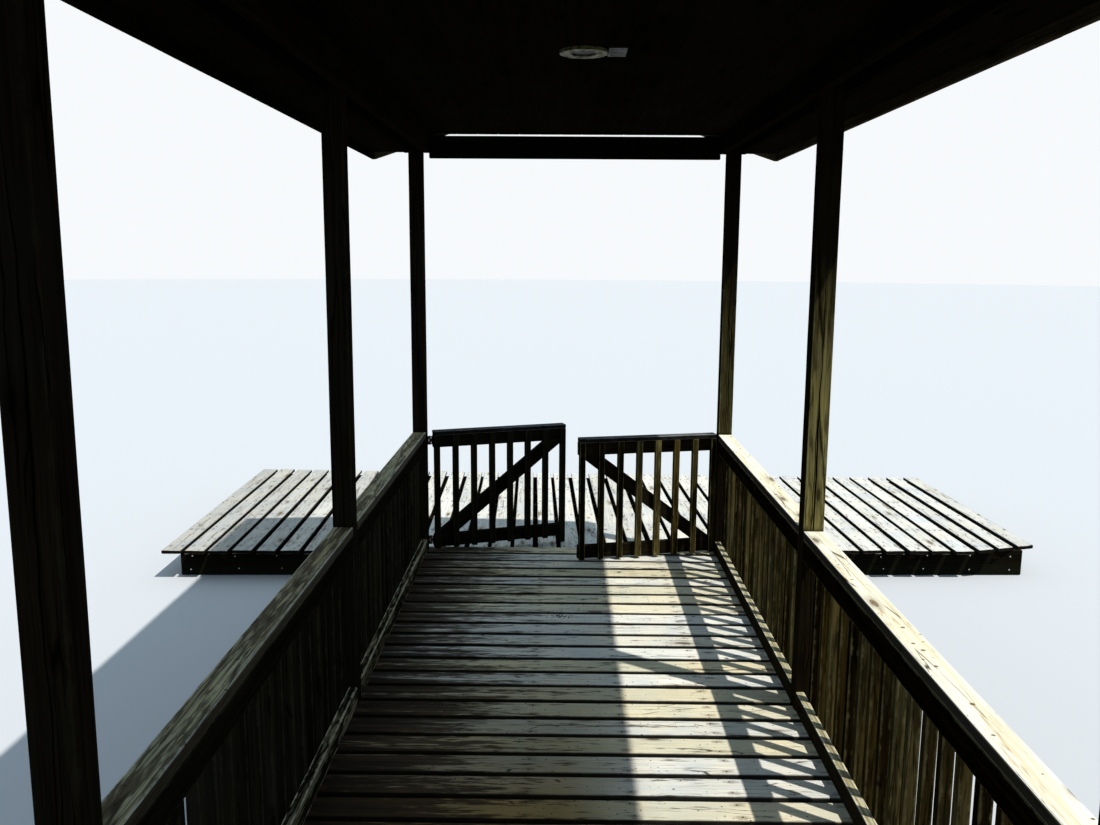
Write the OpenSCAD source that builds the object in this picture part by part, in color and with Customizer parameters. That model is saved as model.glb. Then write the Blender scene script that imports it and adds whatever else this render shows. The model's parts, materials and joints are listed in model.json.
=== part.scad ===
// Roofed timber pier with railings, a pair of swing gates and a low boarded platform at its lake end.
// Sizes in millimetres. +Y runs out over the lake, +Z is up, z = 0 is the water line.

/* [Pier] */
// Number of bays along the pier
bays = 3; // [2:1:4]
// Distance from one post pair to the next
bay_l = 2438; // [1800:1:2700]
// The same distance in the bay at the lake end
lake_bay_l = 2326; // [1800:1:2700]
// Width over the outer faces of the posts
pier_w = 2134; // [1700:1:2600]
// Side of a square post
post_s = 89; // [70:1:120]
// Gap aimed for between deck boards
deck_gap = 24; // [6:1:40]
// How far the deck reaches past the posts at the lake end
deck_over = 38; // [0:1:60]
// Number of joists between the side rims
joist_count = 4; // [2:1:6]

/* [Lumber] */
// Thickness of framing lumber
lumber_t = 38; // [30:1:45]
// Width of a narrow plank
narrow_w = 89; // [75:1:100]
// Width of a wide plank
wide_w = 140; // [120:1:160]
// Width of a deck or platform board
board_w = 135; // [110:1:160]
// Thickness of a deck or platform board
board_t = 25; // [19:1:38]
// Thickness of trim boards
trim_t = 19; // [14:1:25]

/* [Railings] */
// Height of the rail cap's top above the deck
rail_h = 828; // [600:1:1000]
// Side of a square baluster
baluster_s = 38; // [28:1:45]
// Spacing aimed for between baluster centres
baluster_pitch = 127; // [100:1:150]

/* [Gates] */
// Gap between a post and the hinged edge of a leaf
hinge_gap = 26; // [26:1:40]
// Gap between the two closed leaves
meet_gap = 13; // [13:1:40]
// Gap between the deck and the foot of a leaf
foot_gap = 12; // [8:1:40]
// Gap between the platform and the left leaf's free upright, which hangs lower than the others
stile_gap = 8; // [6:1:30]
// Thickness of the cap on a leaf
gate_cap_t = 28; // [19:1:45]
// Uprights in one leaf
upright_count = 8; // [5:1:10]
// Distance of the brace's centre line from the corners of the leaf
brace_in = 75; // [60:1:120]
// How far the left leaf stands open towards the lake, in degrees
left_swing = 20.5; // [8:0.5:60]
// How far the right leaf stands open towards the shore, in degrees
right_swing = 13.5; // [0:0.5:13.5]

/* [Hinges] */
// Height of a hinge
hinge_h = 60; // [45:1:80]
// Length of a strap on a leaf
strap_l = 180; // [100:1:300]
// Length of a hinge plate on a post
plate_l = 60; // [40:1:80]
// Thickness of straps and plates
strap_t = 3; // [2:0.5:4]
// Radius of a hinge pin
pin_r = 4; // [3:0.5:5]
// Radius of a hinge knuckle
knuckle_r = 7; // [6.5:0.5:8]
// Running clearance between pin and knuckle and between knuckles
pin_gap = 0.3; // [0.2:0.1:0.5]
// Distance of the hinge line from the posts' lake faces
pin_out = 8; // [8:0.5:10]

/* [Platform] */
// Step down from the deck to the platform
plat_drop = 36; // [10:1:100]
// Turn of the platform to the left against the pier, in degrees
plat_turn = 1.7; // [0:0.1:4]
// Boards across the platform
plat_boards = 38; // [30:1:44]
// Gap between platform boards
plat_gap = 28.5; // [6:0.5:34]
// Length of the platform at its left edge
plat_l_left = 2660; // [2000:1:3600]
// Length of the platform at its right edge
plat_l_right = 2340; // [2000:1:3600]
// Length of the slanted cut across the platform's near right corner
plat_cut_l = 520; // [150:1:800]
// How far that cut runs back at the platform's right edge
plat_cut_d = 150; // [50:1:200]
// Distance of the platform's centre line to the right of the pier's
plat_shift = 248; // [0:1:500]
// How far the boards reach past the platform frame
plat_lap = 100; // [40:1:150]
// Height of the platform frame
plat_frame_h = 184; // [140:1:235]
// Joists inside the platform frame
plat_joists = 4; // [2:1:6]

/* [Roof] */
// Height of the ceiling's underside above the deck
ceiling_h = 2774; // [2300:1:3200]
// Distance from the ceiling down to the fascia's lower edge
fascia_drop = 159; // [130:1:165]
// Distance from the posts to the outer face of the fascia
eave_out = 256; // [200:1:450]
// Height of the soffit's underside above the fascia's lower edge
soffit_up = 44; // [15:1:60]
// Slit between the top of an end header and the ceiling
header_slit = 16; // [8:1:60]
// Slope of the roof, in degrees
roof_pitch = 18.4; // [14:0.1:26]
// Largest distance between trusses
truss_pitch = 610; // [400:1:800]
// Thickness of the roof sheathing
sheathing_t = 12; // [9:1:19]
// Thickness of a shingle course at its lower edge
shingle_t = 8; // [6:1:12]
// Exposure aimed for on each shingle course
shingle_exposure = 140; // [110:1:160]
// Thickness of the ridge cap
cap_t = 5; // [3:1:8]
// How far the shingles reach past fascia and rake boards
shingle_lap = 12; // [6:1:30]
// Width of one wing of the ridge cap
cap_wing = 152; // [150:1:200]

/* [Ceiling light] */
// Outer radius of the light's ring
light_r = 92; // [60:1:120]
// Radius of the light's lens
lens_r = 50; // [30:1:55]
// Depth of the ring below the ceiling
light_h = 12; // [6:1:30]
// Distance from the lake-end posts back to the light's centre
light_back = 2536; // [800:1:3000]
// Length of the small cover plate beside the light
cover_l = 160; // [60:1:200]
// Width of the small cover plate
cover_w = 70; // [40:1:100]
// Gap between the ring and the cover plate
cover_gap = 2; // [1:1:60]

/* [Hidden] */
$fn = 48;
eps = 0.01;

// Clearance between slanted faces that lie on each other
slant_gap = 0.05;

function post_y(i) = i < bays ? i * bay_l : (bays - 1) * bay_l + lake_bay_l;

deck_l = post_y(bays) + post_s;
clear_w = pier_w - 2 * post_s;
floor_x = pier_w / 2 + lumber_t;
frame_h = wide_w;
plat_top = plat_frame_h + board_t;
deck_z = plat_top + plat_drop;
joist_z = deck_z - board_t - frame_h;

rail_top = deck_z + rail_h;
cap_z = rail_top - lumber_t;

ceiling_z = deck_z + ceiling_h;
beam_top = ceiling_z + trim_t;
beam_z = beam_top - wide_w;
beam_in = clear_w / 2 - lumber_t;
fascia_z = ceiling_z - fascia_drop;
fascia_x = pier_w / 2 + eave_out;
soffit_z = fascia_z + soffit_up;
soffit_top = soffit_z + sheathing_t;
slope = tan(roof_pitch);
ridge_z = fascia_z + wide_w + fascia_x * slope;
roof_end = 2 * trim_t;

plat_pitch = board_w + plat_gap;
plat_w = plat_boards * plat_pitch - plat_gap;

leaf_t = lumber_t + baluster_s;
leaf_l = (clear_w - meet_gap) / 2 - hinge_gap;
leaf_x = hinge_gap / 2;
leaf_z = deck_z + foot_gap;
leaf_top = rail_top - gate_cap_t;
upper_rail_z = leaf_top - narrow_w;

// The platform meets the pier at the deck's left corner; its corners set the outline's middle
plat_x = plat_shift - plat_w / 2 + floor_x;
turn_c = cos(plat_turn);
turn_s = sin(plat_turn);

function board_x(i) = plat_x + i * plat_pitch;
function board_l(i) = plat_l_left + (plat_l_right - plat_l_left) * i / (plat_boards - 1);

plat_left = min([for (i = [0 : plat_boards - 1]) board_x(i) * turn_c - board_l(i) * turn_s]) - floor_x;
plat_right = (plat_x + plat_w) * turn_c - floor_x;
plat_far = max([for (i = [0 : plat_boards - 1]) (board_x(i) + board_w) * turn_s + board_l(i) * turn_c]);
pier_x = -(plat_left + plat_right) / 2;
deck_run = deck_l + deck_over;
shore_y = (roof_end + shingle_lap - deck_run - slant_gap - plat_far) / 2;

wood = "#8d7f62";
dark_wood = "#5f5743";
pale_wood = "#d8cfb4";
steel = "#8a8a86";

// Places children in the pier's own axes: x = 0 on its centre line, y = 0 at its shore end
module on_pier() translate([pier_x, shore_y, 0]) children();

module box(x0, x1, y0, y1, z0, z1) translate([x0, y0, z0]) cube([x1 - x0, y1 - y0, z1 - z0]);

module both_sides() {
    children();
    mirror([1, 0, 0]) children();
}

// A shape drawn in x and z, run along y from y0 to y1
module along_y(y0, y1) translate([0, y1, 0]) rotate([90, 0, 0]) linear_extrude(y1 - y0) children();

// Posts

module post_row(grow = 0) {
    for (i = [0 : bays]) translate([clear_w / 2 - grow, post_y(i) - grow, 0])
        cube([post_s + 2 * grow, post_s + 2 * grow, beam_top]);
}

module left_posts() color(dark_wood) on_pier() mirror([1, 0, 0]) post_row();

module right_posts() color(wood) on_pier() post_row();

// Deck frame and deck

function joist_x(i) = clear_w * ((i + 1) / (joist_count + 1) - 0.5);

module side_rims() color(dark_wood) on_pier() both_sides()
    box(pier_w / 2, floor_x, 0, deck_l, joist_z, joist_z + frame_h);

module pier_joists() color(dark_wood) on_pier() for (i = [0 : joist_count - 1])
    translate([joist_x(i) - lumber_t / 2, lumber_t, joist_z])
        cube([lumber_t, deck_l - 2 * lumber_t, frame_h]);

// End headers between the end posts, and blocking between the joists at the inner posts
module cross_members() color(dark_wood) on_pier() {
    for (y = [0, deck_l - lumber_t])
        box(-clear_w / 2, clear_w / 2, y, y + lumber_t, joist_z, joist_z + frame_h);
    for (i = [1 : bays - 1], k = [0 : joist_count]) {
        x0 = k == 0 ? -clear_w / 2 : joist_x(k - 1) + lumber_t / 2;
        x1 = k == joist_count ? clear_w / 2 : joist_x(k) - lumber_t / 2;
        y0 = post_y(i) + (post_s - lumber_t) / 2;
        box(x0, x1, y0, y0 + lumber_t, joist_z, joist_z + frame_h);
    }
}

deck_count = floor((deck_run + deck_gap) / (board_w + deck_gap));
deck_pitch = (deck_run - board_w) / (deck_count - 1);
notch_gap = 1;

module deck_boards() color(pale_wood) on_pier() difference() {
    for (i = [0 : deck_count - 1])
        translate([-floor_x, i * deck_pitch, deck_z - board_t]) cube([2 * floor_x, board_w, board_t]);
    both_sides() post_row(notch_gap);
}

// Railings: two rails on edge, one on the deck and one under the cap, with balusters on their outer side

rail_x = clear_w / 2 + lumber_t;

function bay_clear(bay) = post_y(bay + 1) - post_y(bay) - post_s;

module railings() for (bay = [0 : bays - 1]) translate([0, post_y(bay) + post_s, 0]) {
    run = bay_clear(bay);
    count = floor((run - baluster_s) / baluster_pitch);
    first_y = (run - (count - 1) * baluster_pitch - baluster_s) / 2;
    for (z = [deck_z, cap_z - narrow_w]) box(clear_w / 2, rail_x, 0, run, z, z + narrow_w);
    for (i = [0 : count - 1]) translate([rail_x, first_y + i * baluster_pitch, deck_z])
        cube([baluster_s, baluster_s, cap_z - deck_z]);
}

module left_railings() color(dark_wood) on_pier() mirror([1, 0, 0]) railings();

module right_railings() color(wood) on_pier() railings();

module rail_caps() for (bay = [0 : bays - 1]) translate([clear_w / 2, post_y(bay) + post_s, cap_z])
    cube([narrow_w, bay_clear(bay), lumber_t]);

module left_rail_caps() color(wood) on_pier() mirror([1, 0, 0]) rail_caps();

module right_rail_caps() color(pale_wood) on_pier() rail_caps();

// Gate leaves, drawn from the hinge line along +x, with their uprights on the shore side

module on_left_hinge() on_pier() translate([-clear_w / 2 + leaf_x, deck_l + pin_out, 0])
    rotate([0, 0, left_swing]) children();

module on_right_hinge() on_pier() translate([clear_w / 2 - leaf_x, deck_l + pin_out, 0])
    rotate([0, 0, right_swing]) mirror([1, 0, 0]) children();

module gate_rails() for (z = [leaf_z, upper_rail_z])
    box(leaf_x, leaf_x + leaf_l, -pin_out - lumber_t, -pin_out, z, z + narrow_w);

module gate_uprights(last_z = leaf_z) for (i = [0 : upright_count - 1]) {
    foot_z = i == upright_count - 1 ? last_z : leaf_z;
    translate([leaf_x + i * (leaf_l - baluster_s) / (upright_count - 1), -pin_out - leaf_t, foot_z])
        cube([baluster_s, baluster_s, leaf_top - foot_z]);
}

module gate_brace() along_y(-pin_out - lumber_t, -pin_out) {
    low = leaf_z + narrow_w;
    run = leaf_l - 2 * brace_in;
    rise = upper_rail_z - low;
    intersection() {
        translate([leaf_x, low]) square([leaf_l, rise]);
        translate([leaf_x + leaf_l / 2, low + rise / 2]) rotate(atan2(rise, run))
            square([2 * leaf_l, narrow_w], center = true);
    }
}

module gate_cap() box(leaf_x, leaf_x + leaf_l, -pin_out - leaf_t, -pin_out, leaf_top, rail_top);

// Hinges: a strap with the middle knuckle on the leaf, a plate with two knuckles and the pin on the post

knuckle_h = hinge_h / 3;
plate_x = knuckle_r + pin_gap;
strap_y = -pin_out;

function hinge_levels() = [for (z = [leaf_z, upper_rail_z]) z + (narrow_w - hinge_h) / 2];

module tube(h, outer, inner) difference() {
    cylinder(h = h, r = outer);
    translate([0, 0, -1]) cylinder(h = h + 2, r = inner);
}

module strap_hinge(z) translate([0, 0, z]) {
    box(plate_x, leaf_x + strap_l, strap_y, strap_y + strap_t, 0, hinge_h);
    translate([0, 0, knuckle_h + pin_gap]) {
        tube(knuckle_h - 2 * pin_gap, knuckle_r, pin_r + pin_gap);
        difference() {
            box(0, plate_x + eps, strap_y, strap_y + strap_t, 0, knuckle_h - 2 * pin_gap);
            translate([0, 0, -1]) cylinder(h = knuckle_h + 2, r = pin_r + pin_gap);
        }
    }
}

module gate_straps() for (z = hinge_levels()) strap_hinge(z);

module plate_hinge(z) translate([0, 0, z]) {
    box(-leaf_x - plate_l, -plate_x, strap_y, strap_y + strap_t, 0, hinge_h);
    cylinder(h = hinge_h, r = pin_r);
    for (k = [0, 2]) translate([0, 0, k * knuckle_h]) {
        cylinder(h = knuckle_h, r = knuckle_r);
        box(-plate_x - eps, 0, strap_y, strap_y + strap_t, 0, knuckle_h);
    }
}

module post_hinges() color(steel) on_pier() both_sides()
    translate([-clear_w / 2 + leaf_x, deck_l + pin_out, 0]) for (z = hinge_levels()) plate_hinge(z);

module left_gate_rails() color(dark_wood) on_left_hinge() gate_rails();
module left_gate_uprights() color(dark_wood) on_left_hinge() gate_uprights(plat_top + stile_gap);
module left_gate_brace() color(dark_wood) on_left_hinge() gate_brace();
module left_gate_cap() color(wood) on_left_hinge() gate_cap();
module left_gate_straps() color(steel) on_left_hinge() gate_straps();
module right_gate_rails() color(dark_wood) on_right_hinge() gate_rails();
module right_gate_uprights() color(wood) on_right_hinge() gate_uprights();
module right_gate_brace() color(dark_wood) on_right_hinge() gate_brace();
module right_gate_cap() color(wood) on_right_hinge() gate_cap();
module right_gate_straps() color(steel) on_right_hinge() gate_straps();

// Platform: its boards run out over the lake and stop along a skewed edge

module on_platform() on_pier() translate([-floor_x, deck_run + slant_gap, 0]) rotate([0, 0, plat_turn]) children();

function plat_length(x) = board_l((x - plat_x - board_w / 2) / plat_pitch);

module frame_outline(inset) {
    x0 = plat_x + inset;
    x1 = plat_x + plat_w - inset;
    polygon([[x0, inset], [x1, inset], [x1, plat_length(x1) - inset], [x0, plat_length(x0) - inset]]);
}

module platform_frame() color(dark_wood) on_platform() difference() {
    linear_extrude(plat_frame_h) frame_outline(plat_lap);
    translate([0, 0, -1]) linear_extrude(plat_frame_h + 2) frame_outline(plat_lap + lumber_t);
}

module platform_joists() color(dark_wood) on_platform() {
    reach = min(plat_l_left, plat_l_right) - 2 * plat_lap;
    inset = plat_lap + lumber_t;
    for (i = [1 : plat_joists]) {
        y0 = plat_lap + i * reach / (plat_joists + 1);
        box(plat_x + inset, plat_x + plat_w - inset, y0, y0 + lumber_t, 0, plat_frame_h);
    }
}

module platform_boards() color(pale_wood) on_platform() difference() {
    for (i = [0 : plat_boards - 1]) box(board_x(i), board_x(i) + board_w, 0, board_l(i), plat_frame_h, plat_top);
    translate([plat_x + plat_w, 0, plat_frame_h - 1]) linear_extrude(board_t + 2)
        polygon([[-plat_cut_l, 0], [0, plat_cut_d], [1, plat_cut_d], [1, -1], [-plat_cut_l, -1]]);
}

// Roof frame

module side_beams() color(dark_wood) on_pier() both_sides() {
    box(beam_in, clear_w / 2, 0, deck_l, beam_z, beam_top);
    box(pier_w / 2, floor_x, 0, deck_l, beam_z, beam_top);
}

module end_headers() color(dark_wood) on_pier() for (y = [0, deck_l - lumber_t])
    box(-beam_in, beam_in, y, y + lumber_t, ceiling_z - header_slit - wide_w, ceiling_z - header_slit);

module ceiling() color(dark_wood) on_pier() box(-beam_in, beam_in, 0, deck_l, ceiling_z, beam_top);

truss_count = ceil((deck_l - lumber_t) / truss_pitch) + 1;
rafter_drop = narrow_w / cos(roof_pitch);

function roof_z(x) = ridge_z - x * slope;

module roof_half(x1, drop) polygon([[0, roof_z(0)], [x1, roof_z(x1)], [x1, roof_z(x1) - drop],
    [0, roof_z(0) - drop]]);

module roof_triangle(x1, drop = 0) polygon([[0, roof_z(0) - drop], [x1, roof_z(x1) - drop],
    [x1, 0], [-x1, 0], [-x1, roof_z(x1) - drop]]);

module truss() along_y(0, lumber_t) difference() {
    union() {
        both_sides() roof_half(fascia_x - trim_t, rafter_drop);
        intersection() {
            roof_triangle(floor_x, rafter_drop / 2);
            union() {
                translate([-floor_x, beam_top]) square([2 * floor_x, narrow_w]);
                translate([-narrow_w / 2, beam_top]) square([narrow_w, ridge_z - beam_top]);
            }
        }
    }
    both_sides() {
        square([floor_x, beam_top]);
        square([fascia_x, soffit_top]);
    }
}

module roof_trusses() color(wood) on_pier() for (i = [0 : truss_count - 1])
    translate([0, i * (deck_l - lumber_t) / (truss_count - 1), 0]) truss();

// Eaves and gables

module fascia() box(fascia_x - trim_t, fascia_x, -trim_t, deck_l + trim_t, fascia_z, fascia_z + wide_w);

module left_fascia() color(dark_wood) on_pier() mirror([1, 0, 0]) fascia();

module right_fascia() color(wood) on_pier() fascia();

module soffit_boards() color(dark_wood) on_pier() both_sides()
    box(floor_x, fascia_x - trim_t, 0, deck_l, soffit_z, soffit_top);

module gable() difference() {
    intersection() {
        roof_triangle(fascia_x - trim_t);
        translate([-fascia_x, soffit_z]) square([2 * fascia_x, ridge_z - soffit_z]);
    }
    translate([-beam_in, 0]) square([2 * beam_in, ceiling_z]);
}

module lake_gable() color(wood) on_pier() along_y(deck_l, deck_l + trim_t) gable();

module shore_gable() color(wood) on_pier() along_y(-trim_t, 0) gable();

module rake() difference() {
    roof_half(fascia_x, wide_w / cos(roof_pitch));
    square([fascia_x + 1, fascia_z]);
}

module lake_rakes() color(wood) on_pier() both_sides() along_y(deck_l + trim_t, deck_l + roof_end) rake();

module shore_rakes() color(wood) on_pier() both_sides() along_y(-roof_end, -trim_t) rake();

// Roof covering. Points are given up the slope from the eave and out from the sheathing's top.

sheath_h = sheathing_t / cos(roof_pitch);
sheath_rise = sheath_h + slant_gap;
eave_x = fascia_x + shingle_lap;
course_count = ceil(eave_x / cos(roof_pitch) / shingle_exposure);
course_l = eave_x / cos(roof_pitch) / course_count;

function on_slope(u, v) = [eave_x - u * cos(roof_pitch) + v * sin(roof_pitch),
    roof_z(eave_x) + sheath_rise + slant_gap + u * sin(roof_pitch) + v * cos(roof_pitch)];

module sheathing() along_y(-roof_end, deck_l + roof_end) translate([0, sheath_rise])
    roof_half(fascia_x, sheath_h);

module shingles() along_y(-roof_end - shingle_lap, deck_l + roof_end + shingle_lap) intersection() {
    polygon(concat(
        [for (i = [0 : course_count], v = [shingle_t / 2, shingle_t]) on_slope(i * course_l, v)],
        [on_slope(course_count * course_l + shingle_t, 0), on_slope(0, 0)]));
    square([eave_x + shingle_t, 2 * ridge_z]);
}

module left_sheathing() color(wood) on_pier() mirror([1, 0, 0]) sheathing();

module right_sheathing() color(wood) on_pier() sheathing();

module left_shingles() color("#4a4a4c") on_pier() mirror([1, 0, 0]) shingles();

module right_shingles() color("#4a4a4c") on_pier() shingles();

module ridge_cap() color("#454547") on_pier() both_sides()
    along_y(-roof_end - shingle_lap, deck_l + roof_end + shingle_lap)
        translate([0, sheath_rise + 2 * slant_gap + shingle_t / cos(roof_pitch) + cap_t])
            roof_half(cap_wing * cos(roof_pitch), cap_t);

// Ceiling light

module at_light() on_pier() translate([0, deck_l - post_s - light_back, ceiling_z]) children();

module light_ring() color("#b9b9b4") at_light() rotate_extrude()
    translate([lens_r, -light_h]) square([light_r - lens_r, light_h]);

module light_lens() color("#d8d8d2") at_light() translate([0, 0, -light_h / 2])
    cylinder(h = light_h / 2, r = lens_r);

module light_cover() color("#8f8f8b") at_light() translate([light_r + cover_gap, -cover_l / 2, -light_h / 2])
    cube([cover_w, cover_l, light_h / 2]);

left_posts();
right_posts();
side_rims();
pier_joists();
cross_members();
deck_boards();
left_railings();
right_railings();
left_rail_caps();
right_rail_caps();
left_gate_rails();
left_gate_uprights();
left_gate_brace();
left_gate_cap();
left_gate_straps();
right_gate_rails();
right_gate_uprights();
right_gate_brace();
right_gate_cap();
right_gate_straps();
post_hinges();
platform_frame();
platform_joists();
platform_boards();
side_beams();
end_headers();
ceiling();
roof_trusses();
left_sheathing();
right_sheathing();
left_shingles();
right_shingles();
ridge_cap();
left_fascia();
right_fascia();
soffit_boards();
lake_gable();
shore_gable();
lake_rakes();
shore_rakes();
light_ring();
light_lens();
light_cover();
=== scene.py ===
import json
import math
import random
import bmesh
import bpy
from mathutils import Matrix, Vector, noise


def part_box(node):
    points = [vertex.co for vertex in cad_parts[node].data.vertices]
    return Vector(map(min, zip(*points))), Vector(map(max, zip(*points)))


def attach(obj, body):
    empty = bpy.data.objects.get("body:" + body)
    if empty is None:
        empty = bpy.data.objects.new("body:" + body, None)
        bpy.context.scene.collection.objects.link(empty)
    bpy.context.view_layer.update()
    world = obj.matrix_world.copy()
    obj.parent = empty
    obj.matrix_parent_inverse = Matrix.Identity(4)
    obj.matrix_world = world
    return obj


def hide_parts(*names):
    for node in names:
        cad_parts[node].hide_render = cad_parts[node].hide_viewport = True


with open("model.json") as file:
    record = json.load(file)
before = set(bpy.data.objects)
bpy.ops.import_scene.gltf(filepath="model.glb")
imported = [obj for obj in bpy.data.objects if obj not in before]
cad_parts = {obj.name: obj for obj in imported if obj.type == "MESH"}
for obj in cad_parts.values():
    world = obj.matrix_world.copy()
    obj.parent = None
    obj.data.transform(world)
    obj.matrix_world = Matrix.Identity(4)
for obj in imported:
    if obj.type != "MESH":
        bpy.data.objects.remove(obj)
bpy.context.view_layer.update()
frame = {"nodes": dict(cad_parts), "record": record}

print("frame loaded,", len(frame["nodes"]), "nodes")


# Shader helpers

def tint(code):
    parts = [int(code[i:i + 2], 16) / 255 for i in (1, 3, 5)]
    return tuple(c / 12.92 if c < 0.04045 else ((c + 0.055) / 1.055) ** 2.4 for c in parts) + (1,)


def put(tree, kind, values=None, **settings):
    made = tree.nodes.new("ShaderNode" + kind)
    for key, value in settings.items():
        setattr(made, key, value)
    fill(tree, made, values or {})
    return made


def fill(tree, node, values):
    for key, value in values.items():
        if isinstance(value, bpy.types.NodeSocket):
            tree.links.new(value, node.inputs[key])
        else:
            node.inputs[key].default_value = value


def calc(tree, how, a, b=0.0, clamp=False):
    return put(tree, "Math", {0: a, 1: b}, operation=how, use_clamp=clamp).outputs[0]


def plus(tree, a, b):
    return calc(tree, "ADD", a, b)


def minus(tree, a, b):
    return calc(tree, "SUBTRACT", a, b)


def times(tree, a, b):
    return calc(tree, "MULTIPLY", a, b)


def ramp(tree, value, low, high, outLow=0.0, outHigh=1.0):
    return put(tree, "MapRange", {0: value, 1: low, 2: high, 3: outLow, 4: outHigh},
               interpolation_type="SMOOTHSTEP").outputs[0]


def mix(tree, share, a, b, how="MIX"):
    return put(tree, "Mix", {0: share, 6: a, 7: b}, data_type="RGBA", blend_type=how).outputs[2]


def greyLevel(tree, tone, low, high):  # the same factor for red, green and blue
    level = put(tree, "MapRange", {0: tone, 1: 0.0, 2: 1.0, 3: low, 4: high}).outputs[0]
    return put(tree, "CombineColor", {0: level, 1: level, 2: level}).outputs[0]


def noiseAt(tree, where, detail, scale=1.0, roughness=0.5):
    return put(tree, "TexNoise", {"Vector": where, "Scale": scale, "Detail": detail,
                                  "Roughness": roughness}).outputs[0]


def cellsAt(tree, where, feature="F1", randomness=1.0):
    return put(tree, "TexVoronoi", {"Vector": where, "Scale": 1.0, "Randomness": randomness},
               feature=feature, voronoi_dimensions="2D").outputs


def axesOf(tree, vector):
    return put(tree, "SeparateXYZ", {0: vector}).outputs


def objectPlace(tree):
    return put(tree, "TexCoord").outputs["Object"]


def newGroup(name, inputs, outputs=("Mask",)):
    group = bpy.data.node_groups.new(name, "ShaderNodeTree")
    for label, value in inputs.items():
        made = group.interface.new_socket(name=label, in_out="INPUT", socket_type="NodeSocketFloat")
        made.default_value = value
    for label in outputs:
        group.interface.new_socket(name=label, in_out="OUTPUT", socket_type="NodeSocketFloat")
    return group, group.nodes.new("NodeGroupInput").outputs, group.nodes.new("NodeGroupOutput").inputs


def place(tree, group, **values):
    made = tree.nodes.new("ShaderNodeGroup")
    made.node_tree = group
    fill(tree, made, values)
    return made.outputs


def flatCoords(tree, layer):
    made = axesOf(tree, put(tree, "UVMap", uv_map=layer).outputs[0])
    return made[0], made[1]


def stretched(tree, u, v, alongScale, acrossScale):
    return put(tree, "CombineXYZ", {0: times(tree, u, alongScale), 1: times(tree, v, acrossScale)}).outputs[0]


def inCells(tree, u, v, length, width):
    return put(tree, "CombineXYZ", {0: calc(tree, "DIVIDE", u, length),
                                    1: calc(tree, "DIVIDE", v, width)}).outputs[0]


# Effects that several finishes share

def makeGrain():
    g, gin, gout = newGroup("woodGrain", {"Along": 1.6, "Across": 70.0, "Waviness": 0.004}, ["Streaks", "Bands"])
    u, v = flatCoords(g, "grain")
    wave = noiseAt(g, stretched(g, u, v, 1.3, 5.0), 1.0)
    v = plus(g, v, times(g, minus(g, wave, 0.5), times(g, gin["Waviness"], 8.0)))
    fine = noiseAt(g, stretched(g, u, v, gin["Along"], gin["Across"]), 5.0, roughness=0.68)
    g.links.new(ramp(g, fine, 0.32, 0.68), gout["Streaks"])
    broad = noiseAt(g, stretched(g, u, v, 0.7, times(g, gin["Across"], 0.22)), 3.0, roughness=0.55)
    g.links.new(ramp(g, broad, 0.36, 0.66), gout["Bands"])
    return g


def makeChecks():
    g, gin, gout = newGroup("dryingChecks", {"Length": 0.5, "Spacing": 0.02, "Width": 0.06, "Share": 0.5})
    u, v = flatCoords(g, "grain")
    wobble = noiseAt(g, stretched(g, u, v, 9.0, 30.0), 3.0)
    across = plus(g, calc(g, "DIVIDE", v, gin["Spacing"]), times(g, wobble, 0.5))
    spot = put(g, "CombineXYZ", {0: calc(g, "DIVIDE", u, gin["Length"]), 1: across}).outputs[0]
    edges = cellsAt(g, spot, "DISTANCE_TO_EDGE")[0]
    where = noiseAt(g, stretched(g, u, v, 1.8, 16.0), 2.0)
    open_ = ramp(g, where, minus(g, 0.78, times(g, gin["Share"], 0.5)), 0.8)
    line = ramp(g, edges, 0.0, plus(g, times(g, open_, gin["Width"]), 0.0001), 1.0, 0.0)
    g.links.new(times(g, line, ramp(g, open_, 0.0, 0.35)), gout["Mask"])
    return g


def makeKnots():
    g, gin, gout = newGroup("knots", {"Share": 0.25}, ["Mask", "Halo"])
    u, v = flatCoords(g, "grain")
    cells = cellsAt(g, stretched(g, u, v, 2.6, 8.5), randomness=0.9)
    pick = put(g, "SeparateColor", {0: cells[1]}).outputs
    present = calc(g, "LESS_THAN", pick[0], gin["Share"])
    size = plus(g, times(g, pick[1], 0.09), 0.05)
    core = ramp(g, cells[0], times(g, size, 0.7), size, 1.0, 0.0)
    halo = ramp(g, cells[0], size, times(g, size, 2.6), 1.0, 0.0)
    rings = plus(g, times(g, calc(g, "SINE", times(g, cells[0], 190.0)), 0.15), 0.85)
    g.links.new(times(g, times(g, core, present), rings), gout["Mask"])
    g.links.new(times(g, halo, present), gout["Halo"])
    return g


def makeBlotches():
    g, gin, gout = newGroup("weatherBlotches", {"Size": 0.3, "Share": 0.5, "Soft": 0.15})
    big = noiseAt(g, objectPlace(g), 6.0, calc(g, "DIVIDE", 1.0, gin["Size"]), 0.62)
    u, v = flatCoords(g, "grain")
    fine = noiseAt(g, stretched(g, u, v, 7.0, 45.0), 4.0)
    value = plus(g, times(g, big, 0.72), times(g, fine, 0.28))
    edge = minus(g, 0.72, times(g, gin["Share"], 0.44))
    g.links.new(ramp(g, value, minus(g, edge, gin["Soft"]), plus(g, edge, gin["Soft"])), gout["Mask"])
    return g


def makeWear():
    g, gin, gout = newGroup("wornEdges", {"Amount": 0.6}, ["Edge", "EndGrain"])
    edge, end = flatCoords(g, "wear")
    chips = noiseAt(g, objectPlace(g), 6.0, 14.0, 0.7)
    value = plus(g, edge, times(g, minus(g, chips, 0.5), 1.9))
    g.links.new(times(g, ramp(g, value, 0.45, 0.95), gin["Amount"]), gout["Edge"])
    g.links.new(end, gout["EndGrain"])
    return g


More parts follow.
